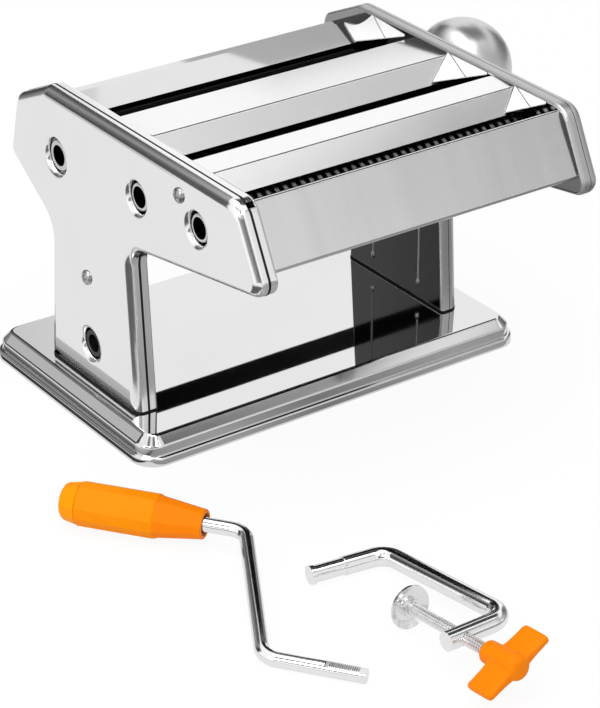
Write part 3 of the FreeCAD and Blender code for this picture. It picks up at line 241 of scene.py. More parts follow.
def brushed(name, tone, low=0.16, spread=0.16, stretch=(0.05, 1, 1), scale=0.5, band=0.0,
            depth=0.00002, dim=0.8):
    """Steel with a grain along one axis and, where asked, soft bands across it."""
    def build(start):
        grain = noise(start, scale, 3.0, stretch, 0.6)
        cloud = noise(start, 30.0, 2.0)
        mix = grain * 0.6 + cloud * 0.4
        if band:
            stripes = noise(start, 7.0, 2.0, (1, 0.02, 0.02))
            mix = mix * (1 - band) + stripes * band
        colour = between(start, mix, [c * dim for c in tone], tone)
        return shaded(start, colour, 1.0, grain * spread + cloud * 0.05 + low, grain, depth)
    return surface(name, build)


def radius_of(start, centre):
    """Distance from a roller's axis in millimetres."""
    across = place_of(start, "Y") - centre[0]
    above = place_of(start, "Z") - centre[1]
    return start.maths("SQRT", across * across + above * above, 0.0)


def hubbed(start, centre, colour, bright):
    """Lay a bright turned hub over a roller's colour, with its bore left in the roller's near-black painted
    shade.
    """
    hub = (place_of(start, "X") < HUB_EDGE) * (radius_of(start, centre) > HUB_BORE)
    return mixed(start, hub, colour, tuple(bright) + (1,))


def ringed(name, tone, bright, centre, ring, facing, spread, hub):
    """A ring roller: dark grooves of painted shade, and ring tops with a painted glint along one line."""
    def build(start):
        reach = radius_of(start, centre)
        normal = start.make("ShaderNodeNewGeometry", output="Normal")
        lean = start.make("ShaderNodeVectorMath", {"operation": "DOT_PRODUCT"}, {0: normal, 1: facing},
                          output="Value")
        # painted glint: ring tops that face one fixed direction are made bright in the colour
        painted_glint = spread_over(start, lean, spread, spread + 0.006)
        grain = noise(start, 0.6, 3.0, (1, 0.05, 0.05))
        colour = between(start, painted_glint * (reach > ring) * (grain * 0.4 + 0.6), tone, bright)
        return shaded(start, hubbed(start, centre, colour, hub), 1.0, grain * 0.12 + 0.22)
    return surface(name, build)


def ground(name, tone, centre, hub):
    """A ground roller, near black as painted shade, with a bright hub on its left."""
    def build(start):
        grain = noise(start, 0.5, 3.0, (0.05, 1, 1), 0.6)
        colour = between(start, grain, [c * 0.7 for c in tone], tone)
        return shaded(start, hubbed(start, centre, colour, hub), 1.0, grain * 0.14 + 0.18)
    return surface(name, build)


def plastic(name, tone, deep):
    """Moulded plastic: a fine eggshell skin, faint flow marks and a soft gloss."""
    def build(start):
        flow = noise(start, 16.0, 2.0)
        skin = noise(start, 0.45, 2.0)
        colour = between(start, flow, deep, tone)
        rough = skin * 0.12 + flow * 0.08 + 0.3
        return shaded(start, colour, 0.0, rough, skin, 0.00002, {"Specular IOR Level": 0.06})
    return surface(name, build)


def paint(names, material):
    """Give CAD nodes a finish."""
    for name in names:
        node = frame["nodes"][name]
        if not node.material_slots:
            node.data.materials.append(material)
        for place in node.material_slots:
            place.material = material


def joint(name):
    """Position and direction of a joint, in the row frame."""
    found = next(item for item in frame["joints"] if item["name"] == name)
    return Vector(found["pos_m"]), Vector(found["axis"]).normalized()


def along(origin, axis, up=Vector((0, 0, 1))):
    """A frame whose X runs along an axis and whose Z leans upwards."""
    x = axis.normalized()
    y = up.cross(x).normalized()
    z = x.cross(y)
    matrix = Matrix((x, y, z)).transposed().to_4x4()
    matrix.translation = origin
    return matrix


def solid(name, shape, material, body, replaced=(), smooth=None):
    """Make an object of a bmesh, give it its finish and let it ride on a body."""
    bmesh.ops.recalc_face_normals(shape, faces=shape.faces)
    mesh = bpy.data.meshes.new(name)
    shape.to_mesh(mesh)
    shape.free()
    mesh.materials.append(material)
    piece = bpy.data.objects.new(name, mesh)
    bpy.context.scene.collection.objects.link(piece)
    for face in mesh.polygons:
        face.use_smooth = True
    if smooth is not None:
        mesh.set_sharp_from_angle(angle=math.radians(smooth))
    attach(piece, body)
    if replaced:
        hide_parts(*replaced)
    return piece


def ring_of(place, x, radius, count):
    """A round ring of points about the X of a frame."""
    turns = [math.tau * t / count for t in range(count)]
    return [place @ Vector((x, radius * math.cos(angle), radius * math.sin(angle))) for angle in turns]


def loft(shape, rings, closed=True):
    """Faces between rings of points, with end caps where asked."""
    made = [[shape.verts.new(point) for point in ring] for ring in rings]
    count = len(made[0])
    for first, last in zip(made, made[1:]):
        for i in range(count):
            j = (i + 1) % count
            shape.faces.new((first[i], first[j], last[j], last[i]))
    if closed:
        shape.faces.new(list(reversed(made[0])))
        shape.faces.new(made[-1])
    return made


class RollerSizes(bpy.types.PropertyGroup):
    """Sizes that a user may change."""
    grip_faces: IntProperty(name="Grip faces", description="Flat faces round the crank's grip",
                            default=12, min=6, max=24)
    grip_radius: FloatProperty(name="Grip radius", description="Radius of the grip at its thickest",
                               default=0.0094, subtype="DISTANCE", unit="LENGTH")
    thread_pitch: FloatProperty(name="Thread pitch", description="Pitch of the clamp screw",
                                default=0.00125, subtype="DISTANCE", unit="LENGTH")
    thread_radius: FloatProperty(name="Thread radius", description="Outer radius of the clamp screw",
                                 default=0.0025, subtype="DISTANCE", unit="LENGTH")
    head_radius: FloatProperty(name="Screw head radius", description="Radius of the cover screws' heads",
                               default=0.0033, subtype="DISTANCE", unit="LENGTH")
    lens: FloatProperty(name="Lens", description="Focal length of the camera in millimetres", default=138.15)


class RollerColours(bpy.types.PropertyGroup):
    """Colours that a user may change."""
    plate: FloatVectorProperty(name="Plate", description="Polished chrome plate", subtype="COLOR",
                               default=(0.95, 0.95, 0.955), min=0, max=1)
    sheet: FloatVectorProperty(name="Sheet", description="Bright sheet of the upper covers", subtype="COLOR",
                               default=(0.88, 0.88, 0.885), min=0, max=1)
    steel: FloatVectorProperty(name="Steel", description="Plain steel of the works", subtype="COLOR",
                               default=(0.55, 0.55, 0.56), min=0, max=1)
    # the rollers' and combs' steel, darkened to near black with the painted shade of the slots
    dark: FloatVectorProperty(name="Roller", description="Ground steel of the rollers", subtype="COLOR",
                              default=(0.035, 0.035, 0.037), min=0, max=1)
    grip: FloatVectorProperty(name="Grip", description="Orange plastic of the grip", subtype="COLOR",
                              default=(0.80, 0.25, 0.0), min=0, max=1)
    wing: FloatVectorProperty(name="Wing", description="Orange plastic of the wing knob", subtype="COLOR",
                              default=(0.77, 0.205, 0.0), min=0, max=1)
    guide: FloatVectorProperty(name="Guide", description="Pale end guides of the slots", subtype="COLOR",
                               default=(0.84, 0.84, 0.84), min=0, max=1)
    backdrop: FloatVectorProperty(name="Backdrop", description="Floor and backdrop", subtype="COLOR",
                                  default=(1.0, 1.0, 1.0), min=0, max=1)


class ROLLER_OT_sheets(bpy.types.Operator):
    """Finish the pressed sides, the base and the upper covers"""
    bl_idname = "roller.sheets"
    bl_label = "Pressed sheets"

    def execute(self, context):
        colours = context.scene.roller_colours
        plate = list(colours.plate)
        sheet = list(colours.sheet)
        paint(["left_outer_cover"], chrome("left_plate", plate, 0.03, 0.00005, 0.02, "X", plate, 0.14))
        paint(["left_inner_frame"], chrome("left_frame_plate", plate, 0.03, 0.00005, 0.02, "X", plate, 0.12))
        # painted shade: the right sheets' rims at 0.62 of the plate, for the dark surroundings they mirror
        grey = [c * 0.62 for c in plate]
        paint(["right_outer_cover"], chrome("right_plate_painted_shade_rim", plate, 0.05, 0.00005, 0.03, "X", grey, 0.34))
        # painted shade: the right frame's plate at 0.34 of the plate, for the dark surroundings it mirrors
        inner = [c * 0.34 for c in plate]
        paint(["right_inner_frame"], chrome("right_frame_plate_painted_shade", inner, 0.05, 0.00005, 0.03, "X", grey, 0.34))
        base = [c * 0.86 for c in plate]
        rims = chrome("base_plate", base, 0.012, 0.00002, 0.012, "Z", base, 0.07)
        paint(["base_plate", "base_bottom_plate"], rims)
        bright = [min(1.0, c * 1.13) for c in sheet]
        covers = brushed("cover_sheet", bright, 0.12, 0.1, (0.04, 1, 1), 0.35, 0.3, 0.000004, 0.92)
        paint(["middle_ridge_cover", "front_ridge_cover"], covers)
        rear = [c * 0.89 for c in sheet]
        paint(["rear_cover"], chrome("rear_plate", rear, 0.03, 0.00003, 0.04))
        panel = brushed("panel_sheet", sheet, 0.12, 0.1, (0.04, 1, 1), 0.35, 0.5, 0.000004, 0.76)
        paint(["front_panel"], panel)
        return {"FINISHED"}


class ROLLER_OT_works(bpy.types.Operator):
    """Finish the rollers, the cutters, the gears and the fasteners"""
    bl_idname = "roller.works"
    bl_label = "Rollers and works"

    def execute(self, context):
        colours = context.scene.roller_colours
        dark = list(colours.dark)
        steel = list(colours.steel)
        turned = (1, 0.05, 0.05)
        hub = [c * 1.2 for c in steel]
        plain = (("rear_smooth_roller", "rear_roller_spin"), ("front_smooth_roller", "front_roller_spin"),
                 ("wide_cutter_rear", "wide_rear_spin"), ("wide_cutter_front", "wide_front_spin"))
        # the rollers' near-black steel is painted shade of the slots
        for node, spin in plain:
            point = joint(spin)[0]
            paint([node], ground(node + "_steel", dark, (point.y / MM, point.z / MM), hub))
        for side in ("rear", "front"):
            point = joint("narrow_%s_spin" % side)[0]
            centre = (point.y / MM, point.z / MM)
            # the direction that the narrow cutters' painted glint faces
            facing = (0, -0.44, 0.898)
            rings = ringed("narrow_%s_rings" % side, dark, [0.8, 0.8, 0.8], centre, 9.6, facing, 0.9935, hub)
            paint(["narrow_cutter_" + side], rings)
        paint(["clamp_socket"], brushed("socket_steel", [0.07, 0.07, 0.072], 0.3, 0.2, (1, 0.1, 0.1), 0.8))
        combs = ["wide_comb_rear", "wide_comb_front", "narrow_comb_rear", "narrow_comb_front"]
        # the combs' near-black steel is painted shade
        paint(combs, brushed("comb_steel", dark, 0.35, 0.15))
        gears = ["rear_roller_gear", "front_roller_gear", "wide_gear_rear", "wide_gear_front",
                 "narrow_gear_rear", "narrow_gear_front"]
        paint(gears, brushed("gear_steel", steel, 0.3, 0.15, (1, 1, 1), 1.5))
        paint(["left_bushes", "right_bushes"], brushed("bush_brass", [0.72, 0.52, 0.24], 0.28, 0.15, turned))
        works = ["rear_scraper", "gap_block_left", "gap_block_right", "gap_tie_bar", "knob_spindle",
                 "index_plate", "knob_index_pin"]
        paint(works, brushed("works_steel", steel, 0.25, 0.15, (1, 1, 1), 1.2))
        ties = ["tie_rods", "left_tie_nuts", "right_tie_nuts", "leg_screws"]
        paint(ties, brushed("zinc", [0.66, 0.67, 0.68], 0.25, 0.12, (1, 1, 1), 1.0))
        # painted shade: the knob's plate is darkened to 0.74 of the plate, for darker reflections
        paint(["knob"], chrome("knob_plate_painted_shade", [c * 0.74 for c in colours.plate], 0.14, 0.00004, 0.2))
        return {"FINISHED"}


class ROLLER_OT_guides(bpy.types.Operator):
    """Make the guides at the ends of the three slots, the beads up the legs and the fine dark lines of painted
    shade in the joints and creases
    """
    bl_idname = "roller.guides"
    bl_label = "End guides and leg beads"

    def execute(self, context):
        pale = list(context.scene.roller_colours.guide)
        material = self.satin(pale)
        # painted shade: near black for the lines in the joints and creases
        dark = plastic("joint_painted_shade", [0.02, 0.02, 0.02], [0.008, 0.008, 0.008])
        low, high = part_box("front_panel")
        for side, face, way in (("left", low[0], 1), ("right", high[0], -1)):
            shape = bmesh.new()
            wall = face + way * GUIDE_GAP
            sets = []
            for top_rear, top_front, foot_rear, foot in GUIDES:
                corners = [Vector((wall, *top_rear)), Vector((wall, *top_front)), Vector((wall, *foot_rear))]
                sets.append(corners + [Vector((face + way * foot[0], foot[1], foot[2]))])
                self.guide(shape, *sets[-1])
            solid(side + "_end_guides", shape, material, "machine", (), 40)
            shape = bmesh.new()
            for y in BEADS:
                self.bead(shape, face, way, y)
            solid(side + "_leg_beads", shape, self.bead_plate_painted_shade(side), "machine", (), 40)
            shape = bmesh.new()
            # painted shade along the creases of the guides
            for corners in sets:
                self.crease(shape, corners)
            solid(side + "_guide_creases", shape, dark, "machine", (), 60)
            shape = bmesh.new()
            # painted shade in the joint round the foot of the leg
            self.seam(shape, side)
            solid(side + "_foot_seam", shape, dark, "machine", (), 40)
        shape = bmesh.new()
        # painted shade in the joint between the left cover and its frame
        self.edge_seam(shape, "left_inner_frame")
        solid("left_edge_seam", shape, dark, "machine", (), 40)
        return {"FINISHED"}

    def crease(self, shape, corners):
        """A fine dark line of painted shade along a pressed crease, in one slanting plane, from the upper edge
        down to the foot of a guide.
        """
        top = self.bow(corners, *CREASE_TOP)
        cut = (self.bow(corners, *CREASE_FOOT) - top).cross(Vector(CREASE_SLANT))
        rings = []
        for step in range(13):
            s = 0.02 + 0.96 * step / 12
            choice = [self.bow(corners, 0.02 + 0.9 * i / 180, s) for i in range(181)]
            point = min(choice, key=lambda p: abs(cut.dot(p - top))) + Vector((0, 0, 0.00012))
            rings.append(ring_of(Matrix.Translation(point), 0, CREASE_RADIUS, 6))
        loft(shape, rings)

    def rim(self, name):
        """The outer edge of a pressed frame on its open side, as points in order."""
        node = frame["nodes"][name]
        mesh = bmesh.new()
        mesh.from_mesh(node.data)
        mesh.transform(node.matrix_world)
        bmesh.ops.remove_doubles(mesh, verts=mesh.verts, dist=WELD)
        mesh.verts.index_update()
        mesh.normal_update()
        face = min(v.co.x for v in mesh.verts)
        links = {}
        for edge in mesh.edges:
            flat = [f for f in edge.link_faces if abs(f.normal.x) > 0.99]
            if len(flat) == 1 and all(v.co.x - face < 0.00001 for v in edge.verts):
                for one, other in (edge.verts, tuple(edge.verts)[::-1]):
                    links.setdefault(one.index, []).append(other.index)
        mesh.verts.ensure_lookup_table()
        longest = []
        size = 0.0
        left = set(links)
        while left:
            chain = [min(left)]
            left.discard(chain[0])
            ahead = links[chain[0]]
            while ahead:
                chain.append(ahead[0])
                left.discard(ahead[0])
                ahead = [i for i in links[chain[-1]] if i in left]
            points = [mesh.verts[i].co.copy() for i in chain]
            length = sum((a - b).length for a, b in zip(points, points[1:]))
            if length > size:
                longest = points
                size = length
        mesh.free()
        return longest

    def edge_seam(self, shape, name):
        """A dark strip of painted shade in the joint between a side cover and the frame behind it."""
        points = self.rim(name)
        count = len(points)
        area = sum(points[i - 1].y * points[i].z - points[i].y * points[i - 1].z for i in range(count))
        way = 1 if area > 0 else -1
        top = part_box(name)[1][2]
        rings = []
        for i in range(count + 1):
            point = points[i % count]
            run = points[(i + 1) % count] - points[i - 1 if i < count else count - 1]
            out = Vector((0, run.z, -run.y)).normalized() * way
            ring = []
            for t in range(6):
                angle = math.tau * t / 6
                spot = point + Vector((JOINT_HALF * math.cos(angle), 0, 0))
                spot += out * (JOINT_RISE * math.sin(angle) - JOINT_SINK)
                spot.z = min(spot.z, top)
                ring.append(spot)
            rings.append(ring)
        loft(shape, rings, False)
        bmesh.ops.remove_doubles(shape, verts=shape.verts, dist=WELD)

    def seam(self, shape, side):
        """A dark strip of painted shade in the joint round the foot of a leg."""
        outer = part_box(side + "_outer_cover")
        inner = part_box(side + "_inner_frame")
        left = min(outer[0][0], inner[0][0])
        right = max(outer[1][0], inner[1][0])
        rounds = FOOT_ROUNDS if side == "left" else FOOT_ROUNDS[::-1]
        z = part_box("base_plate")[1][2]
        path = []
        for x, y, turn, size in ((right, LEG[1], 0, rounds[1]), (left, LEG[1], 1, rounds[0]),
                                 (left, LEG[0], 2, rounds[0]), (right, LEG[0], 3, rounds[1])):
            across = -size if x == right else size
            along_leg = -size if y == LEG[1] else size
            middle = Vector((x + across, y + along_leg, 0))
            for step in range(7):
                angle = math.pi / 2 * (turn + step / 6)
                path.append((middle, size, Vector((math.cos(angle), math.sin(angle), 0))))
        rings = []
        profile = ((-0.0004, 0.0), (0.00012, 0.0), (0.00016, 0.0004), (0.00010, 0.0008), (-0.0004, 0.0009))
        for out, height in profile:
            lift = Vector((0, 0, z + height))
            rings.append([middle + way * (size + out) + lift for middle, size, way in path])
        loft(shape, rings, False)

    def satin(self, tone):
        """The guides' pale, dull finish."""
        def build(start):
            cloud = noise(start, 5.0, 2.0)
            colour = between(start, cloud, [c * 0.9 for c in tone], tone)
            return shaded(start, colour, 0.0, cloud * 0.1 + 0.3)
        return surface("guide_satin", build)

    def bead_plate_painted_shade(self, side):
        """The beads' finish, with its grain up the leg and a dark grey tone of painted shade."""
        # painted shade: the beads' 0.42 grey tone
        return brushed(side + "_bead_plate", [0.42, 0.42, 0.42], 0.3, 0.1, (1, 1, 0.1), 0.8)

    def guide(self, shape, top_rear, top_front, foot_rear, foot):
        """A bowed sheet from the frame's upper edge down to the end of a slot."""
        steps = 12
        corners = (top_rear, top_front, foot_rear, foot)
        marks = [i / steps for i in range(steps + 1)]
        rows = [[self.bow(corners, t, s) for s in marks] for t in marks]
        self.sheet(shape, rows, Vector((0, 0, -GUIDE_SHEET)))

    def bow(self, corners, t, s):
        """A point of a guide: t runs along the slot's end, s from the upper edge down."""
        top_rear, top_front, foot_rear, foot = corners
        high = top_rear.lerp(top_front, t)
        end = top_front - Vector((0, 0, GUIDE_DROP))
        low = foot_rear.lerp(foot, 2 * t) if t < 0.5 else foot.lerp(end, 2 * t - 1)
        point = high.lerp(low, s)
        point.z -= GUIDE_SAG * (high - low).length * math.sin(math.pi * s)
        return point

    def sheet(self, shape, rows, depth):
        """Two skins and the rim between them."""
        upper = [[shape.verts.new(point) for point in row] for row in rows]
        lower = [[shape.verts.new(point + depth) for point in row] for row in rows]
        last = len(rows) - 1
        for i in range(last):
            for j in range(last):
                shape.faces.new((upper[i][j], upper[i + 1][j], upper[i + 1][j + 1], upper[i][j + 1]))
                shape.faces.new((lower[i][j], lower[i][j + 1], lower[i + 1][j + 1], lower[i + 1][j]))
        for i in range(last):
            for a, b in (((i, 0), (i + 1, 0)), ((i, last), (i + 1, last)),
                         ((0, i), (0, i + 1)), ((last, i), (last, i + 1))):
                shape.faces.new((upper[a[0]][a[1]], upper[b[0]][b[1]], lower[b[0]][b[1]], lower[a[0]][a[1]]))

    def bead(self, shape, face, way, y):
        """A half-round bead up the leg, with a round foot."""
        profile = ((0.0195, 0.0002), (0.0197, 0.0007), (0.0203, 0.0010), (0.0212, 0.0011), (0.0221, 0.0010),
                   (0.0227, 0.0006), (0.0235, 0.0005), (0.0600, 0.0005), (0.0840, 0.0005), (0.0850, 0.0001))
        rings = []
        for z, size in profile:
            ring = []
            for step in range(9):
                angle = math.pi * step / 8
                ring.append(Vector((face + way * size * math.sin(angle), y + size * math.cos(angle), z)))
            rings.append(ring)
        loft(shape, rings)


class ROLLER_OT_cover_screws(bpy.types.Operator):
    """Make the domed, cross-recessed screws of the side covers"""
    bl_idname = "roller.cover_screws"
    bl_label = "Cover screws"

    def execute(self, context):
        radius = context.scene.roller_sizes.head_radius
        material = brushed("screw_zinc", [0.5, 0.5, 0.51], 0.22, 0.12, (1, 1, 1), 0.8, 0.0, 0.000002)
        for side, way in (("left", -1), ("right", 1)):
            node = side + "_cover_screws"
            low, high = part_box(node)
            face = low[0] + HEAD_HEIGHT if way < 0 else high[0] - HEAD_HEIGHT
            shape = bmesh.new()
            for y, z in self.places(low, high, radius):
                self.head(shape, Vector((face, y, z)), way, radius)
            solid(node + "_crossed", shape, material, "machine", (node,), 40)
        return {"FINISHED"}

    def places(self, low, high, radius):
        """Centres of the two heads: front top and rear bottom."""
        return [(low[1] + radius, high[2] - radius), (high[1] - radius, low[2] + radius)]

    def head(self, shape, middle, way, radius):
        """A dome whose cross recess is sunk into its grid."""
        rings = []
        for step in range(1, 19):
            r = radius * step / 18
            ring = []
            for turn in range(64):
                angle = math.tau * turn / 64
                y, z = r * math.cos(angle), r * math.sin(angle)
                rise = HEAD_HEIGHT * math.sqrt(max(0.0, 1 - (r / radius) ** 2 * 0.94))
                arm = min(abs(y), abs(z))
                reach = max(abs(y), abs(z))
                if arm < RECESS[0] and reach < RECESS[1]:
                    rise -= 0.0008 * (1 - reach / 0.0024)
                ring.append(middle + Vector((way * rise, y, z)))
            rings.append(ring)
        rings.append(ring_of(Matrix.Translation(middle), 0, radius, 64))
        loft(shape, rings)


class ROLLER_OT_crank(bpy.types.Operator):
    """Finish the crank and make its moulded grip"""
    bl_idname = "roller.crank"
    bl_label = "Crank"

    def execute(self, context):
        sizes = context.scene.roller_sizes
        colours = context.scene.roller_colours
        paint(["crank_rod"], chrome("crank_plate", list(colours.plate), 0.04, 0.00002, 0.1))
        point, axis = joint("crank_grip_spin")
        neck = along(point - axis * GRIP_NECK, axis)
        tone = list(colours.grip)
        body = plastic("grip_plastic", tone, [tone[0] * 0.97, tone[1] * 0.86, 0.0])
        # painted shade: the cone is a darker copy of the grip's plastic
        cone = plastic("cone_plastic_painted_shade", [tone[0] * 0.98, tone[1] * 0.8, 0.0],
                       [tone[0] * 0.96, tone[1] * 0.7, 0.0])
        self.grip(neck, sizes, body, cone)
        cap = plastic("cap_plastic", [tone[0], tone[1] * 1.1, 0.0], tone)
        self.cap(neck, sizes, cap)
        self.bore(neck)
        self.ribs(point, axis)
        return {"FINISHED"}

    def bore(self, neck):
        """A dark lip of painted shadow in the grip's bore round the rod."""
        line = [(0.0026, 0.0031), (0.0010, 0.0032), (0.0005, 0.0036), (0.0006, 0.0043), (0.0026, 0.0046)]
        shape = bmesh.new()
        loft(shape, [ring_of(neck, x, radius, 72) for x, radius in line], False)
        # painted shadow: a dark red ring where the bore's shade falls
        dark = plastic("bore_painted_shadow", [0.16, 0.03, 0.004], [0.09, 0.015, 0.002])
        solid("crank_grip_bore", shape, dark, "crank_handle", (), 40)

    def ribs(self, point, axis):
        """Fine ribs rolled across the flat of the drive end."""
        lean = math.asin(CRANK_DROP / CRANK_ARM)
        across = axis.cross(Vector((0, 0, 1))) * math.cos(lean) + Vector((0, 0, math.sin(lean)))
        tip = point - axis * DRIVE_TIP - across * CRANK_ARM
        place = along(tip, axis, across.cross(axis))
        shape = bmesh.new()
        for step in range(15):
            x = 0.0030 + 0.0008 * step
            ring = []
            for y in (-0.00135, 0.00135):
                for dx, z in ((-0.00034, 0.00215), (-0.00012, 0.00262), (0.00012, 0.00262), (0.00034, 0.00215)):
                    ring.append(shape.verts.new(place @ Vector((x + dx, y, z))))
            near, far = ring[:4], ring[4:]
            shape.faces.new(near)
            shape.faces.new(list(reversed(far)))
            for i in range(4):
                j = (i + 1) % 4
                shape.faces.new((near[j], near[i], far[i], far[j]))
        steel = brushed("rib_steel", [0.75, 0.75, 0.76], 0.25, 0.1, (1, 1, 1), 0.6)
        solid("crank_drive_ribs", shape, steel, "crank", (), 30)

    def ring(self, neck, x, radius, faces, flat):
        """A ring that is round at flat 0 and has plane faces at flat 1."""
        points = []
        for turn in range(faces * 6):
            angle = math.tau * turn / (faces * 6)
            within = (angle + math.pi / faces) % (math.tau / faces) - math.pi / faces
            side = math.cos(math.pi / faces) / math.cos(within)
            edge = min(side, 0.997)
            r = radius * (1 + (edge - 1) * flat)
            points.append(neck @ Vector((x, r * math.cos(angle), r * math.sin(angle))))
        return points

    def grip(self, neck, sizes, material, cone):
        """The body with its cone, faceted all round, the cone in a darker copy of the plastic as painted shade.
        """
        big = sizes.grip_radius
        faces = sizes.grip_faces
        hole = 0.0047
        line = [(0.0030, hole, 0), (0.0, hole, 0), (0.0, 0.0058, 0), (0.0004, 0.0062, 0.2), (0.0012, 0.00635, 1),
                (0.0195, big - 0.0006, 1), (0.0199, big - 0.0003, 1), (0.0206, big, 1), (0.0525, big, 1),
                (0.0529, big - 0.0003, 1), (0.0530, big - 0.0008, 1)]
        shape = bmesh.new()
        loft(shape, [self.ring(neck, x, r, faces, flat) for x, r, flat in line])
        piece = solid("crank_grip_moulded", shape, material, "crank_handle", ("crank_grip",), 24)
        piece.visible_glossy = False
        piece.data.materials.append(cone)
        back = neck.inverted()
        for face in piece.data.polygons:
            face.material_index = int((back @ face.center).x < CONE_END)

    def cap(self, neck, sizes, material):
        """The end cap, pressed into the body."""
        big = sizes.grip_radius - 0.0004
        faces = sizes.grip_faces
        line = [(0.0530, 0.004, 1), (0.0530, big - 0.0004, 1), (0.0534, big, 1), (0.0585, big - 0.0010, 1),
                (0.0600, big - 0.0019, 1), (0.0607, big - 0.0031, 0.8), (0.0610, big - 0.0048, 0.4)]
        shape = bmesh.new()
        loft(shape, [self.ring(neck, x, r, faces, flat) for x, r, flat in line])
        piece = solid("crank_cap_moulded", shape, material, "crank_handle", ("crank_grip_cap",), 24)
        piece.visible_glossy = False


class ROLLER_OT_clamp(bpy.types.Operator):
    """Finish the table clamp and cut the thread of its screw"""
    bl_idname = "roller.clamp"
    bl_label = "Table clamp"

    def execute(self, context):
        sizes = context.scene.roller_sizes
        colours = context.scene.roller_colours
        paint(["clamp_frame"], chrome("clamp_plate", list(colours.plate), 0.04, 0.00002, 0.1))
        zinc = brushed("thread_zinc", [0.93, 0.93, 0.94], 0.14, 0.08, (1, 1, 1), 0.8, 0.0, 0.000001, 0.85)
        paint(["clamp_pressure_disc"], zinc)
        tone = list(colours.wing)
        point, axis = joint("clamp_screw_turn")
        self.thread(along(point, axis), sizes, zinc)
        self.wing(point, axis, plastic("wing_plastic", tone, [tone[0] * 0.97, tone[1] * 0.86, 0.0]))
        return {"FINISHED"}

    def wing(self, point, axis, material):
        """The moulded wing knob: a slim hub with a bulging end that flows into two flat wings."""
        node = frame["nodes"]["clamp_wing_knob"]
        far = Vector((0, 0, 0))
        for corner in node.data.vertices:
            offset = node.matrix_world @ corner.co - point
            offset -= axis * offset.dot(axis)
            if offset.length > far.length:
                far = offset
        span = far.length
        place = along(point, -axis, far.cross(-axis) * -1)
        shape = bmesh.new()
        hub = [(0.0327, 0.0038), (0.0327, 0.0043), (0.0332, 0.0046), (0.0360, 0.0047), (0.0440, 0.0050),
               (0.0490, 0.0052), (0.0506, 0.0047), (0.0515, 0.0036), (0.0518, 0.0015)]
        loft(shape, [ring_of(place, x, radius, 32) for x, radius in hub])
        outline = [(-1.0, -0.55), (-0.8, -0.9), (-0.5, -1.0), (0.5, -1.0), (0.8, -0.9), (1.0, -0.55),
                   (1.0, 0.55), (0.8, 0.9), (0.5, 1.0), (-0.5, 1.0), (-0.8, 0.9), (-1.0, 0.55)]
        # the wings' middle and half width along the axis, then reach, half thickness and trim of each section
        middle = 0.0442
        half = 0.0066
        sections = ((0.001, 0.0031, 0.0), (0.0050, 0.0028, 0.0), (0.0085, 0.0021, 0.0),
                    (span - 0.0012, 0.0018, 0.0), (span - 0.0003, 0.0016, 0.0004), (span, 0.0010, 0.0010))
        for way in (-1, 1):
            rows = []
            for reach, thick, trim in sections:
                wide = half - trim
                rows.append([place @ Vector((middle + u * wide, way * reach, v * thick)) for u, v in outline])
            loft(shape, rows)
        piece = solid("clamp_wing_moulded", shape, material, "clamp_spindle", ("clamp_wing_knob",))
        knead = piece.modifiers.new("one_skin", "REMESH")
        knead.mode = "VOXEL"
        knead.voxel_size = 0.0003
        knead.use_smooth_shade = True
        even = piece.modifiers.new("flow", "SMOOTH")
        even.factor = 0.5
        even.iterations = 8

    def thread(self, place, sizes, material):
        """A helical ridge on a core, as long as the plain rod it stands for."""
        pitch = sizes.thread_pitch
        big = sizes.thread_radius
        small = big - THREAD_DEPTH * pitch
        steps = 28
        start, end = THREAD_ENDS
        turns = int((end - start) / pitch)
        profile = [(0.0, small), (0.3, big), (0.5, big), (0.8, small)]
        shape = bmesh.new()
        rows = []
        for step in range(turns * steps + 1):
            angle = math.tau * step / steps
            row = []
            for part, radius in profile:
                x = min(start + pitch * (step / steps + part), end)
                point = Vector((x, radius * math.cos(angle), radius * math.sin(angle)))
                row.append(shape.verts.new(place @ point))
            rows.append(row)
        for first, last in zip(rows, rows[1:]):
            for i in range(3):
                shape.faces.new((first[i], first[i + 1], last[i + 1], last[i]))
        for first, last in zip(range(0, len(rows) - steps - 1), range(steps, len(rows) - 1)):
            shape.faces.new((rows[first][3], rows[last][0], rows[last + 1][0], rows[first + 1][3]))
        for x in (start, end):
            shape.faces.new([shape.verts.new(p) for p in ring_of(place, x, small, steps)])
        solid("clamp_screw_threaded", shape, material, "clamp_spindle", ("clamp_screw",), 40)


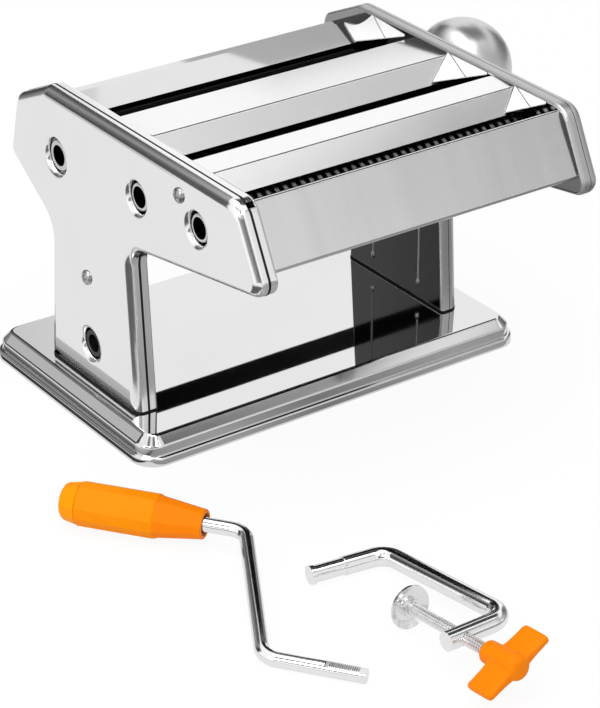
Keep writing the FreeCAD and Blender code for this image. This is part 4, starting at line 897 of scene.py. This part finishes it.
class ROLLER_OT_studio(bpy.types.Operator):
    """Set the floor, the reflector cards, the lamps and the camera"""
    bl_idname = "roller.studio"
    bl_label = "Studio"
    # clear floor cards, which the rods lying on them don't mirror
    CLEAR = ("card_floor_left", "card_floor_front")

    def execute(self, context):
        scene = context.scene
        scene.view_settings.view_transform = "Standard"
        self.world(scene)
        self.floor(list(scene.roller_colours.backdrop))
        for name, middle, across, up, stops in self.cards():
            self.card(name, middle, across, up, self.card_surface(name, stops))
        self.lamp("lamp_top", (-0.2, -0.3, 1.6), (0, -0.05, 0), 1.6, 16)
        self.lamp("lamp_left", (-1.5, -0.6, 0.9), (0, -0.05, 0.05), 1.0, 10)
        self.camera(scene)
        return {"FINISHED"}

    def seen(self, start):
        """1 for camera, glossy and transmission rays, 0 for the others."""
        path = start.make("ShaderNodeLightPath")
        outputs = path.socket.node.outputs
        rays = [Wire(start.tree, outputs[name]) for name in
                ("Is Camera Ray", "Is Glossy Ray", "Is Transmission Ray")]
        return (rays[0] + rays[1] + rays[2]) > 0.5

    def world(self, scene):
        """A white backdrop that lights the object a little less than it shows."""
        world = bpy.data.worlds.new("studio_white")
        scene.world = world
        world.use_nodes = True
        tree = world.node_tree
        tree.nodes.clear()
        start = Wire(tree)
        seen = self.seen(start)
        soft = start.make("ShaderNodeBackground", None, {"Color": (1, 1, 1, 1), "Strength": 0.75})
        white = start.make("ShaderNodeBackground", None, {"Color": (1, 1, 1, 1), "Strength": 1.0})
        light = start.make("ShaderNodeMixShader", None, {0: seen, 1: soft, 2: white})
        end = tree.nodes.new("ShaderNodeOutputWorld")
        tree.links.new(light.socket, end.inputs["Surface"])

    def floor(self, tone):
        """A white floor that keeps a faint shadow of the object."""
        def build(start):
            camera = start.make("ShaderNodeLightPath", output="Is Camera Ray")
            glossy = start.make("ShaderNodeLightPath", output="Is Glossy Ray")
            pale = start.make("ShaderNodeBsdfDiffuse", None, {"Color": [c * 0.82 for c in tone] + [1]})
            white = start.make("ShaderNodeEmission", None, {"Color": tone + [1], "Strength": 1.0})
            dim = start.make("ShaderNodeEmission", None, {"Color": tone + [1], "Strength": 0.8})
            mirrored = start.make("ShaderNodeMixShader", None, {0: glossy * 0.85, 1: pale, 2: dim})
            return start.make("ShaderNodeMixShader", None, {0: camera * 0.92, 1: mirrored, 2: white})
        mesh = bpy.data.meshes.new("floor")
        mesh.from_pydata([(-4, -4, 0), (4, -4, 0), (4, 4, 0), (-4, 4, 0)], [], [(0, 1, 2, 3)])
        mesh.materials.append(surface("floor_white", build))
        floor = bpy.data.objects.new("floor", mesh)
        bpy.context.scene.collection.objects.link(floor)

    def cards(self):
        """Reflector cards: middle, two half sides, and grey levels along the first of them."""
        streaks = [(0.0, 0.30), (0.2, 0.4), (0.4, 0.22), (0.7, 0.4), (1.0, 0.25)]
        return [
            ("card_front", (0.62, -0.98, 0.62), (0.54, 0.35, 0), (0, 0, 0.42), [(0.42, 0.84), (0.62, 0.54)]),
            ("card_high", (0.85, -0.85, 1.25), (0.6, 0.33, 0), (0.1, -0.28, 0.2),
             [(0.0, 0.35), (0.3, 0.12), (0.5, 0.3), (0.7, 0.1), (1.0, 0.4)]),
            ("card_rear_left", (-0.42, 0.90, 0.53), (0.75, 0, 0), (0, 0, 0.53),
             [(0.0, 0.02), (0.25, 0.06), (0.5, 0.30), (0.72, 0.08), (1.0, 0.01)]),
            ("card_over", (0.62, 0.15, 1.1), (0.5, 0, 0), (0, 0.42, 0), [(0.0, 0.02), (1.0, 0.05)]),
            ("card_rear_right", (0.1195, 0.12, 0.1669), (0.0605, 0, 0), (0.0322, 0, 0.0169),
             [(0.0, 0.52), (1.0, 0.47)]),
            ("card_rear_strip", (0.42, 1.0, 0.60), (0.10, 0, 0), (0, 0, 0.07), [(0.0, 0.62), (1.0, 0.82)]),
            ("card_base_left", (-0.2, 0.16, 0.118), (0, 0, 0.043), (0, 0.09, 0),
             [(0.0, 0.62), (0.45, 0.55), (0.62, 0.06), (1.0, 0.03)]),
            ("card_corner", (-0.57, -0.43, 1.0), (0.21, -0.28, 0), (-0.2, -0.15, 0),
             [(0.0, 0.08), (0.25, 0.2), (0.42, 1.0), (0.58, 1.0), (0.75, 0.2), (1.0, 0.08)]),
            ("card_nose", (-0.654, -1.237, 0.54), (0.356, -0.182, 0), (0, 0, 0.19),
             [(0.0, 0.20), (0.5, 0.07), (1.0, 0.16)]),
            ("card_nose_left", (-1.19, -0.71, 0.53), (0.197, -0.371, 0), (0, 0, 0.19),
             [(0.0, 0.45), (0.5, 0.10), (1.0, 0.20)]),
            ("card_camera", (-0.95, -1.40, 0.95), (0.45, -0.32, 0), (0.12, 0.17, 0.3),
             [(0.0, 0.25), (0.5, 0.6), (1.0, 0.2)]),
            ("card_right", (1.15, -0.10, 0.32), (0, 0.62, 0), (0, 0, 0.34),
             [(0.0, 0.6), (0.4, 0.3), (0.7, 0.12), (1.0, 0.3)]),
            ("card_floor_left", (-0.34, -0.26, 0.0006), (0.21, 0, 0), (0, 0.22, 0), [(0.0, 0.06), (1.0, 0.12)]),
            ("card_floor_side", (-0.1058, 0.01, 0.0006), (0.0043, 0, 0), (0, 0.09, 0),
             [(0.0, 0.5), (0.45, 0.42), (0.7, 0.1), (1.0, 0.03)]),
            ("card_floor_front", (0.25, -0.436, 0.0006), (0.36, 0, 0), (0, 0.37, 0), streaks),
            ("card_rim", (0.02, -0.09, 0.0005), (0.13, 0, 0), (0, 0.024, 0), streaks),
            ("card_strip", (0.044, 0.07, 0.08275), (0.114, 0, 0), (0, 0, 0.0058), [(0.0, 0.0), (1.0, 0.01)]),
            ("card_low", (0.7, -1.25, 0.06), (0.9, 0, 0), (0, 0, 0.06), [(0.0, 0.03), (1.0, 0.08)]),
        ]

    def card_surface(self, name, stops):
        """A card that glows softly, with its grey levels set along its width."""
        def build(start):
            nearest = NEAR_FLOOR if name in self.CLEAR else 0.0
            far = start.make("ShaderNodeLightPath", output="Ray Length") > nearest
            clear = start.make("ShaderNodeBsdfTransparent")
            place = start.make("ShaderNodeTexCoord", output="UV")
            split = start.make("ShaderNodeSeparateXYZ", None, {"Vector": place})
            greys = [(at, float(grey)) for at, grey in stops]
            level = start.make("ShaderNodeValToRGB", {"stops": greys}, {"Fac": split})
            glow = start.make("ShaderNodeEmission", None, {"Color": level, "Strength": 1.0})
            return start.make("ShaderNodeMixShader", None, {0: far, 1: clear, 2: glow})
        return surface(name + "_grey", build)

    def card(self, name, middle, across, up, material):
        """A flat card that shows only in reflections."""
        middle, across, up = Vector(middle), Vector(across), Vector(up)
        mesh = bpy.data.meshes.new(name)
        corners = [middle - across - up, middle + across - up, middle + across + up, middle - across + up]
        mesh.from_pydata(corners, [], [(0, 1, 2, 3)])
        layer = mesh.uv_layers.new(name="card")
        for place, corner in zip(layer.data, ((0, 0), (1, 0), (1, 1), (0, 1))):
            place.uv = corner
        mesh.materials.append(material)
        card = bpy.data.objects.new(name, mesh)
        bpy.context.scene.collection.objects.link(card)
        card.visible_camera = False
        card.visible_diffuse = False
        card.visible_shadow = False
        card.visible_transmission = False

    def lamp(self, name, place, target, size, power):
        """A soft square lamp aimed at a point."""
        light = bpy.data.lights.new(name, "AREA")
        light.shape = "SQUARE"
        light.size = size
        light.energy = power
        lamp = bpy.data.objects.new(name, light)
        lamp.location = place
        lamp.rotation_euler = (Vector(target) - Vector(place)).to_track_quat("-Z", "Y").to_euler()
        bpy.context.scene.collection.objects.link(lamp)

    def camera(self, scene):
        """The camera at the angle of the picture."""
        lens = bpy.data.cameras.new("camera")
        lens.lens = scene.roller_sizes.lens
        lens.sensor_width = 36
        lens.clip_start = 0.01
        camera = bpy.data.objects.new("camera", lens)
        camera.location = CAMERA_PLACE
        camera.rotation_euler = (math.radians(90 - CAMERA_DOWN), 0, math.radians(CAMERA_TURN))
        scene.collection.objects.link(camera)
        scene.camera = camera


class ROLLER_PT_panel(bpy.types.Panel):
    """Lists the pieces and the values they are made with"""
    bl_idname = "ROLLER_PT_panel"
    bl_label = "Pasta roller"
    bl_space_type = "VIEW_3D"
    bl_region_type = "UI"
    bl_category = "Pasta roller"

    def draw(self, context):
        for group in (context.scene.roller_sizes, context.scene.roller_colours):
            for name in group.__annotations__:
                self.layout.prop(group, name)
        for operator in OPERATORS:
            self.layout.operator(operator.bl_idname)


OPERATORS = (ROLLER_OT_sheets, ROLLER_OT_works, ROLLER_OT_guides, ROLLER_OT_cover_screws,
             ROLLER_OT_crank, ROLLER_OT_clamp, ROLLER_OT_studio)
CLASSES = (RollerSizes, RollerColours) + OPERATORS + (ROLLER_PT_panel,)


def register():
    for item in CLASSES:
        bpy.utils.register_class(item)
    bpy.types.Scene.roller_sizes = PointerProperty(type=RollerSizes)
    bpy.types.Scene.roller_colours = PointerProperty(type=RollerColours)


def unregister():
    del bpy.types.Scene.roller_colours
    del bpy.types.Scene.roller_sizes
    for item in reversed(CLASSES):
        bpy.utils.unregister_class(item)


def main():
    register()
    bpy.ops.roller.sheets()
    bpy.ops.roller.works()
    bpy.ops.roller.guides()
    bpy.ops.roller.cover_screws()
    bpy.ops.roller.crank()
    bpy.ops.roller.clamp()
    bpy.ops.roller.studio()


if __name__ == "__main__":
    main()
